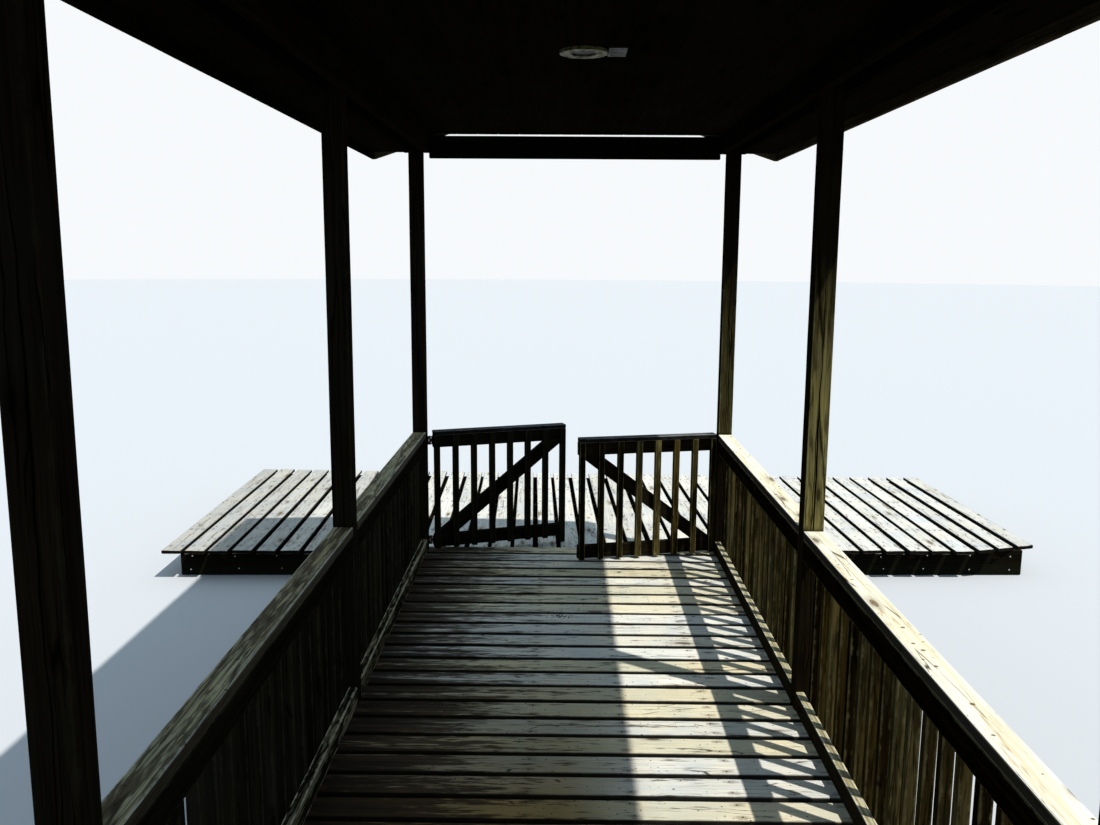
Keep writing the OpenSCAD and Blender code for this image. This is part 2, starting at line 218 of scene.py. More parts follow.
def makeDamp():
    g, gin, gout = newGroup("waterLine", {"Level": 0.1, "Fade": 0.06})
    spot = put(g, "NewGeometry").outputs["Position"]
    ripple = noiseAt(g, spot, 4.0, 7.0)
    height = plus(g, axesOf(g, spot)[2], times(g, minus(g, ripple, 0.5), gin["Fade"]))
    g.links.new(ramp(g, height, gin["Level"], plus(g, gin["Level"], gin["Fade"]), 1.0, 0.0), gout["Mask"])
    return g


def makeFastenerStain():
    g, gin, gout = newGroup("fastenerStain", {"Pitch": 0.5, "Reach": 0.018})
    u, s = flatCoords(g, "nails")
    cell = minus(g, calc(g, "FRACT", calc(g, "DIVIDE", u, gin["Pitch"])), 0.5)
    du = times(g, cell, times(g, gin["Pitch"], 0.45))
    ds = minus(g, calc(g, "ABSOLUTE", s), 0.04)
    far = calc(g, "SQRT", plus(g, times(g, du, du), times(g, ds, ds)))
    rough = noiseAt(g, objectPlace(g), 4.0, 45.0)
    far = plus(g, far, times(g, minus(g, rough, 0.5), 0.02))
    g.links.new(ramp(g, far, 0.002, gin["Reach"], 1.0, 0.0), gout["Mask"])
    return g


def makeStains():
    g, gin, gout = newGroup("longStains", {"Share": 0.4, "Across": 20.0})
    u, v = flatCoords(g, "grain")
    broad = noiseAt(g, stretched(g, u, v, 1.9, gin["Across"]), 4.0, roughness=0.6)
    fine = noiseAt(g, stretched(g, u, v, 12.0, times(g, gin["Across"], 5.0)), 3.0)
    value = plus(g, times(g, broad, 0.62), times(g, fine, 0.38))
    edge = minus(g, 0.61, times(g, gin["Share"], 0.24))
    g.links.new(ramp(g, value, minus(g, edge, 0.035), plus(g, edge, 0.05)), gout["Mask"])
    return g


def makeSpecks():
    g, gin, gout = newGroup("darkSpecks", {"Spacing": 0.03, "Share": 0.3})
    u, v = flatCoords(g, "grain")
    cells = cellsAt(g, inCells(g, u, v, gin["Spacing"], gin["Spacing"]))
    pick = put(g, "SeparateColor", {0: cells[1]}).outputs
    size = plus(g, times(g, pick[1], 0.1), 0.035)
    g.links.new(times(g, calc(g, "LESS_THAN", cells[0], size), calc(g, "LESS_THAN", pick[0], gin["Share"])),
                gout["Mask"])
    return g


longStains, darkSpecks = makeStains(), makeSpecks()
woodGrain, dryingChecks, knots = makeGrain(), makeChecks(), makeKnots()
blotches, wornEdges, waterLine, fastenerStain = makeBlotches(), makeWear(), makeDamp(), makeFastenerStain()


def startMaterial(name):
    made = bpy.data.materials.new(name)
    made.use_nodes = True
    tree = made.node_tree
    return made, tree, tree.nodes["Principled BSDF"]


def addBump(tree, shader, height, strength, distance):
    bump = put(tree, "Bump", {"Height": height, "Strength": strength, "Distance": distance})
    tree.links.new(bump.outputs[0], shader.inputs["Normal"])


# what a timber has where its own look doesn't say otherwise
plainTimber = {
    "along": 1.6, "across": 70.0, "bands": 0.45, "patch": 0.35, "greyShare": 0.4, "greyDepth": 0.7, "stainShare": 0.4,
    "stainDepth": 0.7, "toneLow": 0.72, "toneHigh": 1.12, "wear": 0.3, "knots": 0.2, "rust": 0.4,
    "nailStain": "#4a3422", "checkLength": 0.45, "checkSpacing": 0.022, "checks": 0.5, "checkWidth": 0.09,
    "speckGap": 0.03, "speck": "#21170d", "sideDirtAndShadeDepth": 0.85, "endDepth": 0.55, "algae": "#1d1f15",
    "rough": 0.72, "relief": 0.35, "depth": 0.0025, "gloss": 0.0}


def timber(name, ownLook):
    look = dict(plainTimber, **ownLook)
    made, tree, shader = startMaterial(name)
    tone, lift = flatCoords(tree, "tone")
    grain = place(tree, woodGrain, Along=look["along"], Across=look["across"])
    spot = put(tree, "NewGeometry").outputs
    where, facing = axesOf(tree, spot["Position"]), axesOf(tree, spot["True Normal"])
    colour = mix(tree, grain["Streaks"], tint(look["dark"]), tint(look["pale"]))

    def lay(key, mask, depth=None, how="MIX"):  # one of the look's colours over those laid before
        nonlocal colour
        share = mask if depth is None else times(tree, mask, depth)
        colour = mix(tree, share, colour, tint(look[key]), how)

    lay("band", grain["Bands"], look["bands"])
    lay("grey", place(tree, blotches, Size=look["patch"], Share=look["greyShare"])["Mask"], look["greyDepth"])
    share = look["stainShare"]
    if "grimeAndShade" in look:  # more stains on the side and end under the roof's shade: partly weathering, partly painted shade
        shaded = ramp(tree, where[0], look["middle"] - 0.95, look["middle"] + 0.3, 1.0, 0.0)
        inland = ramp(tree, where[1], -2.4, 0.6, 0.4, 0.0)
        share = plus(tree, share, times(tree, shaded, plus(tree, inland, 0.6)))
    if "stain" in look:
        lay("stain", place(tree, longStains, Share=share)["Mask"], look["stainDepth"])
    if "other" in look:  # some boards have aged to another hue
        lay("other", ramp(tree, lift, 0.15, 0.95), how="MULTIPLY")
    if "shoreBrownAndShade" in look:  # browner and darker towards the shore and the shaded side: a brown hue and painted shade under the roof
        brownAndShade = times(tree, ramp(tree, where[1], -1.3, 0.9, 1.0, 0.0),
                      ramp(tree, where[0], look["middle"] - 0.1, look["middle"] + 0.35, 0.95, 0.12))
        lay("shoreBrownAndShade", brownAndShade, how="MULTIPLY")
    colour = mix(tree, 1.0, colour, greyLevel(tree, tone, look["toneLow"], look["toneHigh"]), "MULTIPLY")
    if "grimeAndShade" in look:  # a ragged dark band along the shaded railing: damp dirt and painted shade
        ragged = plus(tree, where[0], times(tree, minus(tree, grain["Bands"], 0.5), 0.45))
        lay("grimeAndShade", ramp(tree, ragged, look["middle"] - 0.98, look["middle"] - 0.42, 0.96, 0.0))
    wear = place(tree, wornEdges, Amount=look["wear"])
    lay("worn", wear["Edge"])
    knot = place(tree, knots, Share=look["knots"])
    lay("knot", knot["Halo"], 0.35)
    lay("knot", knot["Mask"], 0.85)
    if "nailPitch" in look:
        lay("nailStain", place(tree, fastenerStain, Pitch=look["nailPitch"])["Mask"], look["rust"])
    check = place(tree, dryingChecks, Length=look["checkLength"], Spacing=look["checkSpacing"], Share=look["checks"],
                  Width=look["checkWidth"])
    lay("crack", check["Mask"], 0.92)
    if "specks" in look:
        lay("speck", place(tree, darkSpecks, Share=look["specks"], Spacing=look["speckGap"])["Mask"], 0.85)
    if "sideDirtAndShade" in look:  # dark side faces: algae and dirt in the gaps between boards, and painted shade on the sides of caps and rails
        lay("sideDirtAndShade", ramp(tree, calc(tree, "ABSOLUTE", facing[2]), 0.25, 0.8, look["sideDirtAndShadeDepth"], 0.0))
    if "paintedPostShade" in look:  # painted shade: dark on the faces towards the walkway, below the caps and high under the roof
        dim = calc(tree, "MAXIMUM", ramp(tree, where[2], 1.06, 1.1, 1.0, 0.0), ramp(tree, where[2], 1.6, 2.3))
        lay("paintedPostShade", calc(tree, "MAXIMUM", ramp(tree, facing[0], -0.9, -0.5, 1.0, 0.0), dim), 0.97)
    lay("end", wear["EndGrain"], look["endDepth"])
    if "damp" in look:
        lay("algae", place(tree, waterLine, Level=look["damp"])["Mask"], 0.75)
    height = minus(tree, times(tree, grain["Streaks"], look["relief"]),
                   plus(tree, check["Mask"], times(tree, knot["Mask"], 0.3)))
    addBump(tree, shader, height, 0.6, look["depth"])
    rough = calc(tree, "ADD", times(tree, grain["Streaks"], 0.14), look["rough"], True)
    fill(tree, shader, {"Base Color": colour, "Roughness": rough, "Specular IOR Level": look["gloss"]})
    return made


def makeMetal(name, pale, dark, rust, share):
    made, tree, shader = startMaterial(name)
    spot = objectPlace(tree)
    spangle = put(tree, "TexVoronoi", {"Vector": spot, "Scale": 140.0})
    colour = mix(tree, put(tree, "SeparateColor", {0: spangle.outputs[1]}).outputs[0], tint(dark), tint(pale))
    patch = noiseAt(tree, spot, 7.0, 28.0, 0.7)
    rusty = ramp(tree, patch, 0.62 - share * 0.3, 0.72 - share * 0.3)
    fill(tree, shader, {"Base Color": mix(tree, rusty, colour, tint(rust)),
                        "Roughness": ramp(tree, rusty, 0.0, 1.0, 0.45, 0.9),
                        "Metallic": ramp(tree, rusty, 0.0, 1.0, 0.85, 0.1)})
    addBump(tree, shader, patch, 0.3, 0.0008)
    return made


def makeSheetTimber(name, pale, dark):
    made, tree, shader = startMaterial(name)
    spot = put(tree, "Mapping", {"Vector": objectPlace(tree), "Scale": (60.0, 2.0, 60.0)})
    grain = noiseAt(tree, spot.outputs[0], 6.0, roughness=0.6)
    colour = mix(tree, ramp(tree, grain, 0.3, 0.7), tint(dark), tint(pale))
    fill(tree, shader, {"Base Color": colour, "Roughness": 0.85})
    addBump(tree, shader, grain, 0.4, 0.001)
    return made


zinc = makeMetal("oldZinc", "#7d7b76", "#4b4945", "#4a2e1a", 0.7)
oldNail = makeMetal("rustyNail", "#4a443d", "#2c2722", "#2e1c10", 0.9)
brightNail = makeMetal("brightNail", "#c9c8c2", "#9b9a94", "#5a3a22", 0.1)


# Board making

def newStore():
    bm = bmesh.new()
    store = {"bm": bm}
    for layer in ("grain", "wear", "tone", "nails"):
        store[layer] = bm.loops.layers.uv.new(layer)
    return store


def section(width, thick, radius, fine, split=False):
    # points round a board's cross-section: across, through, how worn, how deep in a split, and whether they wander
    w, t, r = width / 2, thick / 2, radius
    inset = min(0.01, (w - r) * 0.5)
    top = [(-w + r, 0.7, 0, 0), (-w + r + inset, 0, 0, 0)]
    if fine:
        middle = [(-0.0026, 0, 0, 1), (0.0, 0, 1, 1), (0.0026, 0, 0, 1)] if split else [(0.0, 0, 0, 0)]
        top += [(-w * 0.45, 0, 0, 0)] + middle + [(w * 0.45, 0, 0, 0)]
    top += [(w - r - inset, 0, 0, 0), (w - r, 0.7, 0, 0)]
    ring = []
    for turn in (1, -1):  # the lower half is the upper one turned round
        ring += [(turn * a, turn * t, e, d, m) for a, e, d, m in top]
        ring += [(turn * (w - 0.3 * r), turn * (t - 0.3 * r), 1, 0, 0), (turn * w, turn * (t - r), 0.7, 0, 0)]
        if thick > 0.03:
            ring.append((turn * w, 0.0, 0, 0, 0))
        ring += [(turn * w, turn * (r - t), 0.7, 0, 0), (turn * (w - 0.3 * r), turn * (0.3 * r - t), 1, 0, 0)]
    return ring


def addBoard(store, start, end, side, width, thick, rng, radius=0.003, step=0.12, fine=False, bow=0.0012,
             ragged=0.0015, cup=0.0, nailStart=0.0, split=0.0, shade=None):
    bm = store["bm"]
    start, end = Vector(start), Vector(end)
    length = (end - start).length
    axis = (end - start).normalized()
    side = (Vector(side) - axis * axis.dot(Vector(side))).normalized()
    up = side.cross(axis)
    ring = section(width, thick, radius, fine, split > 0)
    count = max(2, round(length / step))
    marks = [0.0, 0.004] + [length * k / count for k in range(1, count)] + [length - 0.004, length]
    seed = rng.uniform(0, 100)
    shiftU, shiftV = rng.uniform(0, 60), rng.uniform(0, 60)
    tone, lift = rng.random(), rng.random()
    tone = tone if shade is None else shade
    lean = rng.uniform(-1, 1)
    around = [0.0]
    for a, b in zip(ring, ring[1:] + ring[:1]):
        around.append(around[-1] + math.hypot(b[0] - a[0], b[1] - a[1]))
    rows, opened = [], []
    for k, u in enumerate(marks):
        isEnd = k in (0, len(marks) - 1)
        inset = 0.0012 if isEnd else 0.0
        bowS = bow * noise.noise(Vector((u * 0.6, seed, 0.0)))
        bowN = bow * noise.noise(Vector((u * 0.6, seed, 9.0)))
        wander = 0.22 * width * noise.noise(Vector((u * 2.3, seed, 4.0)))
        wander += 0.05 * width * noise.noise(Vector((u * 11, seed, 6)))
        open_ = min(1.0, max(0.0, 0.45 + 1.2 * noise.noise(Vector((u * 1.1, seed, 2.0)))))
        opened.append(open_)
        row = []
        for s, n, worn, deep, slides in ring:
            rough = 0.0006 * noise.noise(Vector((u * 4.0, s * 40.0 + seed, n * 40.0)))
            s2 = s * (1 - inset / max(abs(s), 0.004)) + (rough if abs(s) > width * 0.4 else 0.0)
            n2 = n * (1 - inset / max(abs(n), 0.004)) + cup * ((2 * s / width) ** 2 - 0.4) - abs(rough)
            if slides:
                s2 = s * (0.3 + open_) + wander
                n2 -= math.copysign(split * open_ * deep, n)
            along = u
            if isEnd:
                bite = 0.6 * noise.noise(Vector((s * 60, n * 60, seed)))
                cut = ragged * (0.5 + 0.5 * lean * 2 * s / width + bite)
                along += cut if k == 0 else -cut
            row.append(bm.verts.new(start + axis * along + side * (s2 + bowS) + up * (n2 + bowN)))
        rows.append(row)
    faces = []
    size = len(ring)

    def setLoops(face, values):
        for loop, (u, v, worn, endShare, s) in zip(face.loops, values):
            loop[store["grain"]].uv = (u + shiftU, v + shiftV)
            loop[store["wear"]].uv = (worn, endShare)
            loop[store["tone"]].uv = (tone, lift)
            loop[store["nails"]].uv = (u - nailStart, s)

    for k in range(len(rows) - 1):
        endA, endB = k == 0, k == len(rows) - 2
        for i in range(size):
            j = (i + 1) % size
            face = bm.faces.new((rows[k][i], rows[k][j], rows[k + 1][j], rows[k + 1][i]))
            corners = []
            for row, m, v, ended in ((k, i, around[i], endA), (k, j, around[i + 1], endA),
                                     (k + 1, j, around[i + 1], endB), (k + 1, i, around[i], endB)):
                corners.append((marks[row], v, 0.9 if ended else ring[m][2],
                                ring[m][3] * min(1.0, opened[row] * 3), ring[m][0]))
            setLoops(face, corners)
            faces.append(face)
    for row, order in ((rows[0], range(size)[::-1]), (rows[-1], range(size))):
        face = bm.faces.new([row[i] for i in order])
        setLoops(face, [(ring[i][0] * 2, ring[i][1], 0.3, 1.0, 1.0) for i in order])
        faces.append(face)
    return faces


def addPlank(store, a, b, z, high, rng, **more):
    # a plank on edge between two places in the plan, its middle at height z
    return addBoard(store, (*a, z), (*b, z), (0, 0, 1), high, plank, rng, **more)


def cutBoard(store, faces, point, normal):
    # keeps what lies behind the plane and closes the cut
    bm = store["bm"]
    faces = [f for f in faces if f.is_valid]
    verts = dict.fromkeys(v for f in faces for v in f.verts)
    edges = dict.fromkeys(e for f in faces for e in f.edges)
    made = bmesh.ops.bisect_plane(bm, geom=[*verts, *edges, *faces], plane_co=point, plane_no=normal,
                                  clear_outer=True, dist=1e-6)
    edges = [e for e in made["geom_cut"] if isinstance(e, bmesh.types.BMEdge)]
    kept = [f for f in made["geom"] if isinstance(f, bmesh.types.BMFace) and f.is_valid]
    if edges:
        sample = kept[0].loops[0]
        for face in bmesh.ops.holes_fill(bm, edges=edges)["faces"]:
            for loop in face.loops:
                loop[store["grain"]].uv = (loop.vert.co.x + loop.vert.co.y, loop.vert.co.z)
                loop[store["wear"]].uv = (0.3, 1.0)
                loop[store["tone"]].uv = sample[store["tone"]].uv
            kept.append(face)
    return kept


def addNail(store, point, normal, radius=0.0042, proud=0.0009):
    # a shallow round head standing a little proud of the board
    bm = store["bm"]
    normal = Vector(normal)
    sideA = normal.orthogonal().normalized()
    sideB = normal.cross(sideA)
    rings = []
    for r, h in ((radius, -0.001), (radius, proud * 0.4), (radius * 0.6, proud)):  # sunk rim, edge and crown
        rings.append([bm.verts.new(Vector(point) + (sideA * math.cos(a) + sideB * math.sin(a)) * r + normal * h)
                      for a in (k * math.pi / 4 for k in range(8))])
    for low, high in zip(rings, rings[1:]):
        for i in range(8):
            bm.faces.new((low[i], low[(i + 1) % 8], high[(i + 1) % 8], high[i]))
    bm.faces.new(rings[-1])


slotOf = {part["node"]: part["material_slot"] for part in frame["record"]["subparts"]}


def finishPiece(store, name, material, body="root", node=None):
    # a piece takes the place of the solid with its own name, unless it is given another or has none
    node = node or "".join("_" + c.lower() if c.isupper() else c for c in name)
    bm = store["bm"]
    bmesh.ops.recalc_face_normals(bm, faces=bm.faces)
    mesh = bpy.data.meshes.new(name)
    bm.to_mesh(mesh)
    bm.free()
    piece = bpy.data.objects.new(name, mesh)
    bpy.context.scene.collection.objects.link(piece)
    mesh.materials.append(material)
    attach(piece, body)
    if node in slotOf:
        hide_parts(node)


# Sizes of the pier, in metres

pier = {"post": 0.089, "bays": (2.438, 2.438, 2.326), "plank": 0.038, "narrow": 0.089, "wide": 0.14, "trim": 0.019,
        "board": 0.135, "thin": 0.025, "baluster": 0.038, "balusterPitch": 0.127, "joists": 4,
        "skin": 0.0006}  # skin: how much thinner a finished board is than its solid
post, plank, narrow, wide, trim, thin, skin = (
    pier[k] for k in ("post", "plank", "narrow", "wide", "trim", "thin", "skin"))
half = plank / 2
leftPosts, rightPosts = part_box("left_posts"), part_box("right_posts")
centreX = (leftPosts[0][0] + rightPosts[1][0]) / 2
halfClear = rightPosts[0][0] - centreX
halfOut = halfClear + post
floorHalf = halfOut + plank
shoreY, lakeY = leftPosts[0][1], leftPosts[1][1]
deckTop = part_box("deck_boards")[1][2]
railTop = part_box("left_rail_caps")[1][2]
capLow = railTop - plank
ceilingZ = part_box("ceiling")[0][2]
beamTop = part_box("ceiling")[1][2]
postY = [shoreY + sum(pier["bays"][:i]) for i in range(4)]
sides = ((-1, "left"), (1, "right"))


# Deck

# the deck's dark worn colour darkens the rounded long edges of the boards: dirt and painted shade at the gaps
deck = {"boards": 46, "step": 0.05, "look": {
        "gloss": 0.12, "middle": centreX, "along": 3.5, "across": 105.0, "pale": "#fffdf6", "dark": "#e9dfc2",
        "band": "#fdf7e6", "grey": "#d3dde0", "greyShare": 0.45, "greyDepth": 0.65, "stain": "#33270f",
        "stainShare": 0.06, "stainDepth": 0.9, "other": "#f3ebd0", "worn": "#3d3323", "wear": 0.45,
        "knot": "#4a3a22", "knots": 0.28, "crack": "#1c160e", "end": "#4d4433", "checks": 0.75, "checkWidth": 0.08,
        "toneLow": 0.9, "toneHigh": 1.06, "nailPitch": 0.3912, "rust": 0.5, "patch": 0.3, "shoreBrownAndShade": "#967a30",
        "grimeAndShade": "#100b05", "specks": 0.25, "sideDirtAndShade": "#120f08", "sideDirtAndShadeDepth": 0.96}}
deckTimber = timber("deckTimber", deck["look"])
low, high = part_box("deck_boards")
pitch = (high[1] - low[1] - pier["board"]) / (deck["boards"] - 1)
joistX = [centreX + halfClear * 2 * ((i + 1) / (pier["joists"] + 1) - 0.5) for i in range(pier["joists"])]
rng = random.Random(11)
store, nails = newStore(), newStore()
for i in range(deck["boards"]):
    y = low[1] + pier["board"] / 2 + i * pitch
    width = pier["board"] - rng.uniform(0.002, 0.009)
    z = deckTop - thin / 2 - rng.uniform(0.0, 0.002)
    tilt = rng.uniform(-0.0025, 0.0025)
    addBoard(store, (low[0] + rng.uniform(0, 0.006), y - tilt, z), (high[0] - rng.uniform(0, 0.006), y + tilt, z),
             (0, 1, 0), width, thin - skin, rng, radius=0.004, step=deck["step"], fine=True, bow=0.002, ragged=0.003,
             cup=rng.uniform(-0.001, 0.0012), nailStart=floorHalf)
    for x in joistX + [centreX - halfOut - half, centreX + halfOut + half]:
        for side in (-1, 1):
            addNail(nails, (x + rng.uniform(-0.007, 0.007), y + side * 0.04 + rng.uniform(-0.008, 0.008),
                            z + thin / 2 - 0.0004), (0, 0, 1))
finishPiece(store, "deckBoards", deckTimber)
finishPiece(nails, "deckNails", oldNail)
print("deck boards laid")


litter = {"spot": (-0.075, -1.19), "pieces": 70, "spread": 0.045}
litterFinish = makeSheetTimber("leafLitter", "#3a2c18", "#0d0a06")
rng = random.Random(17)
store = newStore()
for i in range(litter["pieces"]):
    far = abs(rng.gauss(0, litter["spread"]))
    turned = rng.uniform(0, 2 * math.pi)
    middle = Vector((centreX + litter["spot"][0] + far * math.cos(turned) * 1.2,
                     lakeY - post + litter["spot"][1] + far * math.sin(turned), deckTop - 0.0012))
    reach, high = rng.uniform(0.002, 0.008), rng.uniform(0.001, 0.004)
    rim = [store["bm"].verts.new(middle + Vector((math.cos(a) * reach * rng.uniform(0.5, 1.2),
                                                  math.sin(a) * reach * rng.uniform(0.3, 1.0), 0)))
           for a in (k * math.pi * 0.4 + turned for k in range(5))]
    peak = store["bm"].verts.new(middle + Vector((rng.uniform(-0.002, 0.002), rng.uniform(-0.002, 0.002), high)))
    for k in range(5):
        store["bm"].faces.new((rim[k], rim[(k + 1) % 5], peak))
    store["bm"].faces.new(rim[::-1])
finishPiece(store, "leafLitter", litterFinish)


# Platform

platform = {
    "boards": 38, "gap": 0.0285, "shift": 0.248, "turn": 1.7, "over": 0.038, "longLeft": 2.66, "longRight": 2.34,
    "cut": (0.52, 0.15), "lap": 0.1, "joists": 4, "shrunk": (35, 36, 37), "older": 10, "look": {
        "pale": "#f6f3ea", "dark": "#d6cfbc", "band": "#ebe6d7", "grey": "#c6ccd3", "stain": "#6a5a3e",
        "stainShare": 0.14, "stainDepth": 0.6, "worn": "#54492f", "wear": 0.4, "knot": "#6d5a3c",
        "crack": "#2d251a", "end": "#1f1a12", "endDepth": 0.9, "checks": 0.6, "toneLow": 0.6, "toneHigh": 1.04,
        "nailPitch": 0.428, "rust": 0.45, "patch": 0.25, "specks": 0.3, "speckGap": 0.07, "speck": "#3a2f1e",
        "sideDirtAndShade": "#120f08", "sideDirtAndShadeDepth": 0.96}}
platformTimber = timber("platformTimber", platform["look"])
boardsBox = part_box("platform_boards")
turn = math.radians(platform["turn"])
acrossWay, outWay = Vector((math.cos(turn), math.sin(turn), 0)), Vector((-math.sin(turn), math.cos(turn), 0))
corner = Vector((centreX - floorHalf, lakeY + platform["over"], 0))
platformPitch = pier["board"] + platform["gap"]
platformWide = platform["boards"] * platformPitch - platform["gap"]
firstX = platform["shift"] - platformWide / 2 + floorHalf


def onPlatform(x, y, z):
    return corner + acrossWay * x + outWay * y + Vector((0, 0, z))


def platformLength(share):  # of the board that stands at this share of the way from left to right
    return platform["longLeft"] + (platform["longRight"] - platform["longLeft"]) * share


rng = random.Random(23)
store, nails = newStore(), newStore()
topZ, frameHigh = boardsBox[1][2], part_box("platform_frame")[1][2]
lap = platform["lap"]
joistReach = (min(platform["longLeft"], platform["longRight"]) - 2 * lap) / (platform["joists"] + 1)
cutBack, cutDeep = platform["cut"]
cutPoint = onPlatform(firstX + platformWide, cutDeep, 0)
cutWay = (acrossWay * cutDeep - outWay * cutBack).normalized()
for i in range(platform["boards"]):
    share = i / (platform["boards"] - 1)
    length = platformLength(share) - rng.uniform(0, 0.022)
    x = firstX + i * platformPitch + pier["board"] / 2 + rng.uniform(-0.002, 0.002)
    drift = rng.uniform(-0.004, 0.004) * (0.3 if i in (0, platform["boards"] - 1) else 1)
    z = topZ - thin / 2 - rng.uniform(0.0, 0.003)
    narrowed = 0.012 if i in platform["shrunk"] else 0.0
    x += narrowed / 3
    nearEnd = onPlatform(x - drift, rng.uniform(0.002, 0.01), z)
    faces = addBoard(store, nearEnd, onPlatform(x + drift, length, z), acrossWay,
                     pier["board"] - rng.uniform(0.0, 0.006) - narrowed, thin - skin, rng, radius=0.004, step=0.1,
                     fine=True, bow=0.003, ragged=0.006, cup=rng.uniform(-0.001, 0.001), nailStart=0.119 - 0.214,
                     shade=rng.uniform(0.0, 0.5) if i < platform["older"] else rng.uniform(0.55, 1.0))
    if x + pier["board"] / 2 > firstX + platformWide - cutBack:
        cutBoard(store, faces, cutPoint, cutWay)
    for k in range(platform["joists"] + 2):
        y = lap + half + (joistReach * k if k <= platform["joists"] else length - 2 * lap - plank)
        for side in (-1, 1):
            spot = onPlatform(x + side * 0.042 + rng.uniform(-0.008, 0.008), y + rng.uniform(-0.01, 0.01),
                              z + thin / 2 - 0.0004)
            if (spot - cutPoint).dot(cutWay) < -0.02:
                addNail(nails, spot, (0, 0, 1))
finishPiece(store, "platformBoards", platformTimber)
finishPiece(nails, "platformNails", oldNail)

frameLook = {"pale": "#241f16", "dark": "#100d08", "band": "#1a150e", "grey": "#1e1d18", "worn": "#37322a",
             "knot": "#0b0906", "crack": "#070503", "end": "#2b2519", "damp": 0.05, "nailPitch": 0.61}
frameTimber = timber("frameTimber", frameLook)
rng = random.Random(31)
store = newStore()
x0, x1 = firstX + lap, firstX + platformWide - lap
frameShares = ((x - firstX - pier["board"] / 2) / platformPitch / (platform["boards"] - 1) for x in (x0, x1))
farLeft, farRight = (platformLength(share) - lap for share in frameShares)
nails = newStore()


def addSkirt(x, y, x2, y2, step):
    z = frameHigh / 2 + skin
    addBoard(store, onPlatform(x, y, z), onPlatform(x2, y2, z), (0, 0, 1), frameHigh - 0.003, plank, rng, step=step)


addSkirt(x0, lap + half, x1, lap + half, 0.2)
addSkirt(x0, farLeft - half, x1, farRight - half, 0.2)
addSkirt(x0 + half, lap + plank, x0 + half, farLeft - plank, 0.2)
addSkirt(x1 - half, lap + plank, x1 - half, farRight - plank, 0.2)
for share in [k / 19 for k in range(20)]:  # two rows of nails where joists and blocks meet the shore-side plank
    for z in (0.045, 0.14):
        x = x0 + 0.08 + (x1 - x0 - 0.16) * share + rng.uniform(-0.02, 0.02)
        addNail(nails, onPlatform(x, lap + 0.0004, z + rng.uniform(-0.006, 0.006)), -outWay, 0.0055, 0.0012)
finishPiece(store, "platformFrame", frameTimber)
finishPiece(nails, "frameNails", brightNail)
store = newStore()
for i in range(1, platform["joists"] + 1):
    y = lap + i * joistReach + half
    addSkirt(x0 + plank, y, x1 - plank, y, 0.3)
finishPiece(store, "platformJoists", frameTimber)
print("platform built")


# Posts

# painted light: the left posts near-black as shade, the right posts olive as sunlit timber
postLooksShadedLeftLitRight = {
    "left": {"pale": "#2b241a", "dark": "#110d08", "band": "#1d1810", "grey": "#23221d", "worn": "#3d382d",
             "knot": "#080604", "crack": "#040302", "end": "#070503", "endDepth": 0.95, "checks": 0.8,
             "checkLength": 1.1, "checkWidth": 0.14, "checkSpacing": 0.035, "damp": 0.06, "depth": 0.004},
    "right": {"pale": "#a79b5c", "dark": "#4c4322", "band": "#7b7040", "grey": "#6f6c50", "worn": "#c2b888",
              "stain": "#33290f", "stainShare": 0.35, "knot": "#1d150b", "knots": 0.3, "crack": "#0d0905",
              "end": "#0b0804", "endDepth": 0.95, "checks": 0.9, "checkLength": 1.3, "checkWidth": 0.2,
              "checkSpacing": 0.04, "toneLow": 0.2, "toneHigh": 1.05, "damp": 0.06, "depth": 0.005,
              "paintedPostShade": "#17110a"}}
# per-post tone: the third right post light as sunlit and the last right post dark as painted shade
postToneAndShade = {"left": (0.5, 0.5, 0.6, 0.5), "right": (0.7, 0.6, 0.95, 0.1)}
rng = random.Random(41)
for sign, side in sides:
    store = newStore()
    for y, shade in zip(postY, postToneAndShade[side]):
        x = centreX + sign * (halfClear + post / 2)
        addBoard(store, (x, y + post / 2, 0), (x, y + post / 2, beamTop), (1, 0, 0), post, post - skin, rng,
                 radius=0.004, step=0.04, fine=True, ragged=0.0, split=0.012, shade=shade)
    finishPiece(store, side + "Posts", timber(side + "PaintedLightPostTimber", postLooksShadedLeftLitRight[side]))
print("posts standing")


# Frame under the deck

rng = random.Random(47)
store = newStore()
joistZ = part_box("side_rims")[0][2] + wide / 2
for sign, side in sides:
    x = centreX + sign * (halfOut + half)
    addPlank(store, (x, shoreY), (x, lakeY), joistZ, wide, rng, step=0.25)
finishPiece(store, "sideRims", frameTimber)
store = newStore()
for x in joistX:
    addPlank(store, (x, shoreY + plank), (x, lakeY - plank), joistZ, wide, rng, step=0.3)
finishPiece(store, "pierJoists", frameTimber)
store = newStore()
for y in (shoreY + half, lakeY - half):
    addPlank(store, (centreX - halfClear, y), (centreX + halfClear, y), joistZ, wide, rng, step=0.2)
stops = [centreX - halfClear] + joistX + [centreX + halfClear]
for y in postY[1:3]:
    for k in range(len(joistX) + 1):
        a = stops[k] + (half if k else 0)
        b = stops[k + 1] - (half if k < len(joistX) else 0)
        addPlank(store, (a, y + post / 2), (b, y + post / 2), joistZ, wide, rng, step=0.2)
finishPiece(store, "crossMembers", frameTimber)
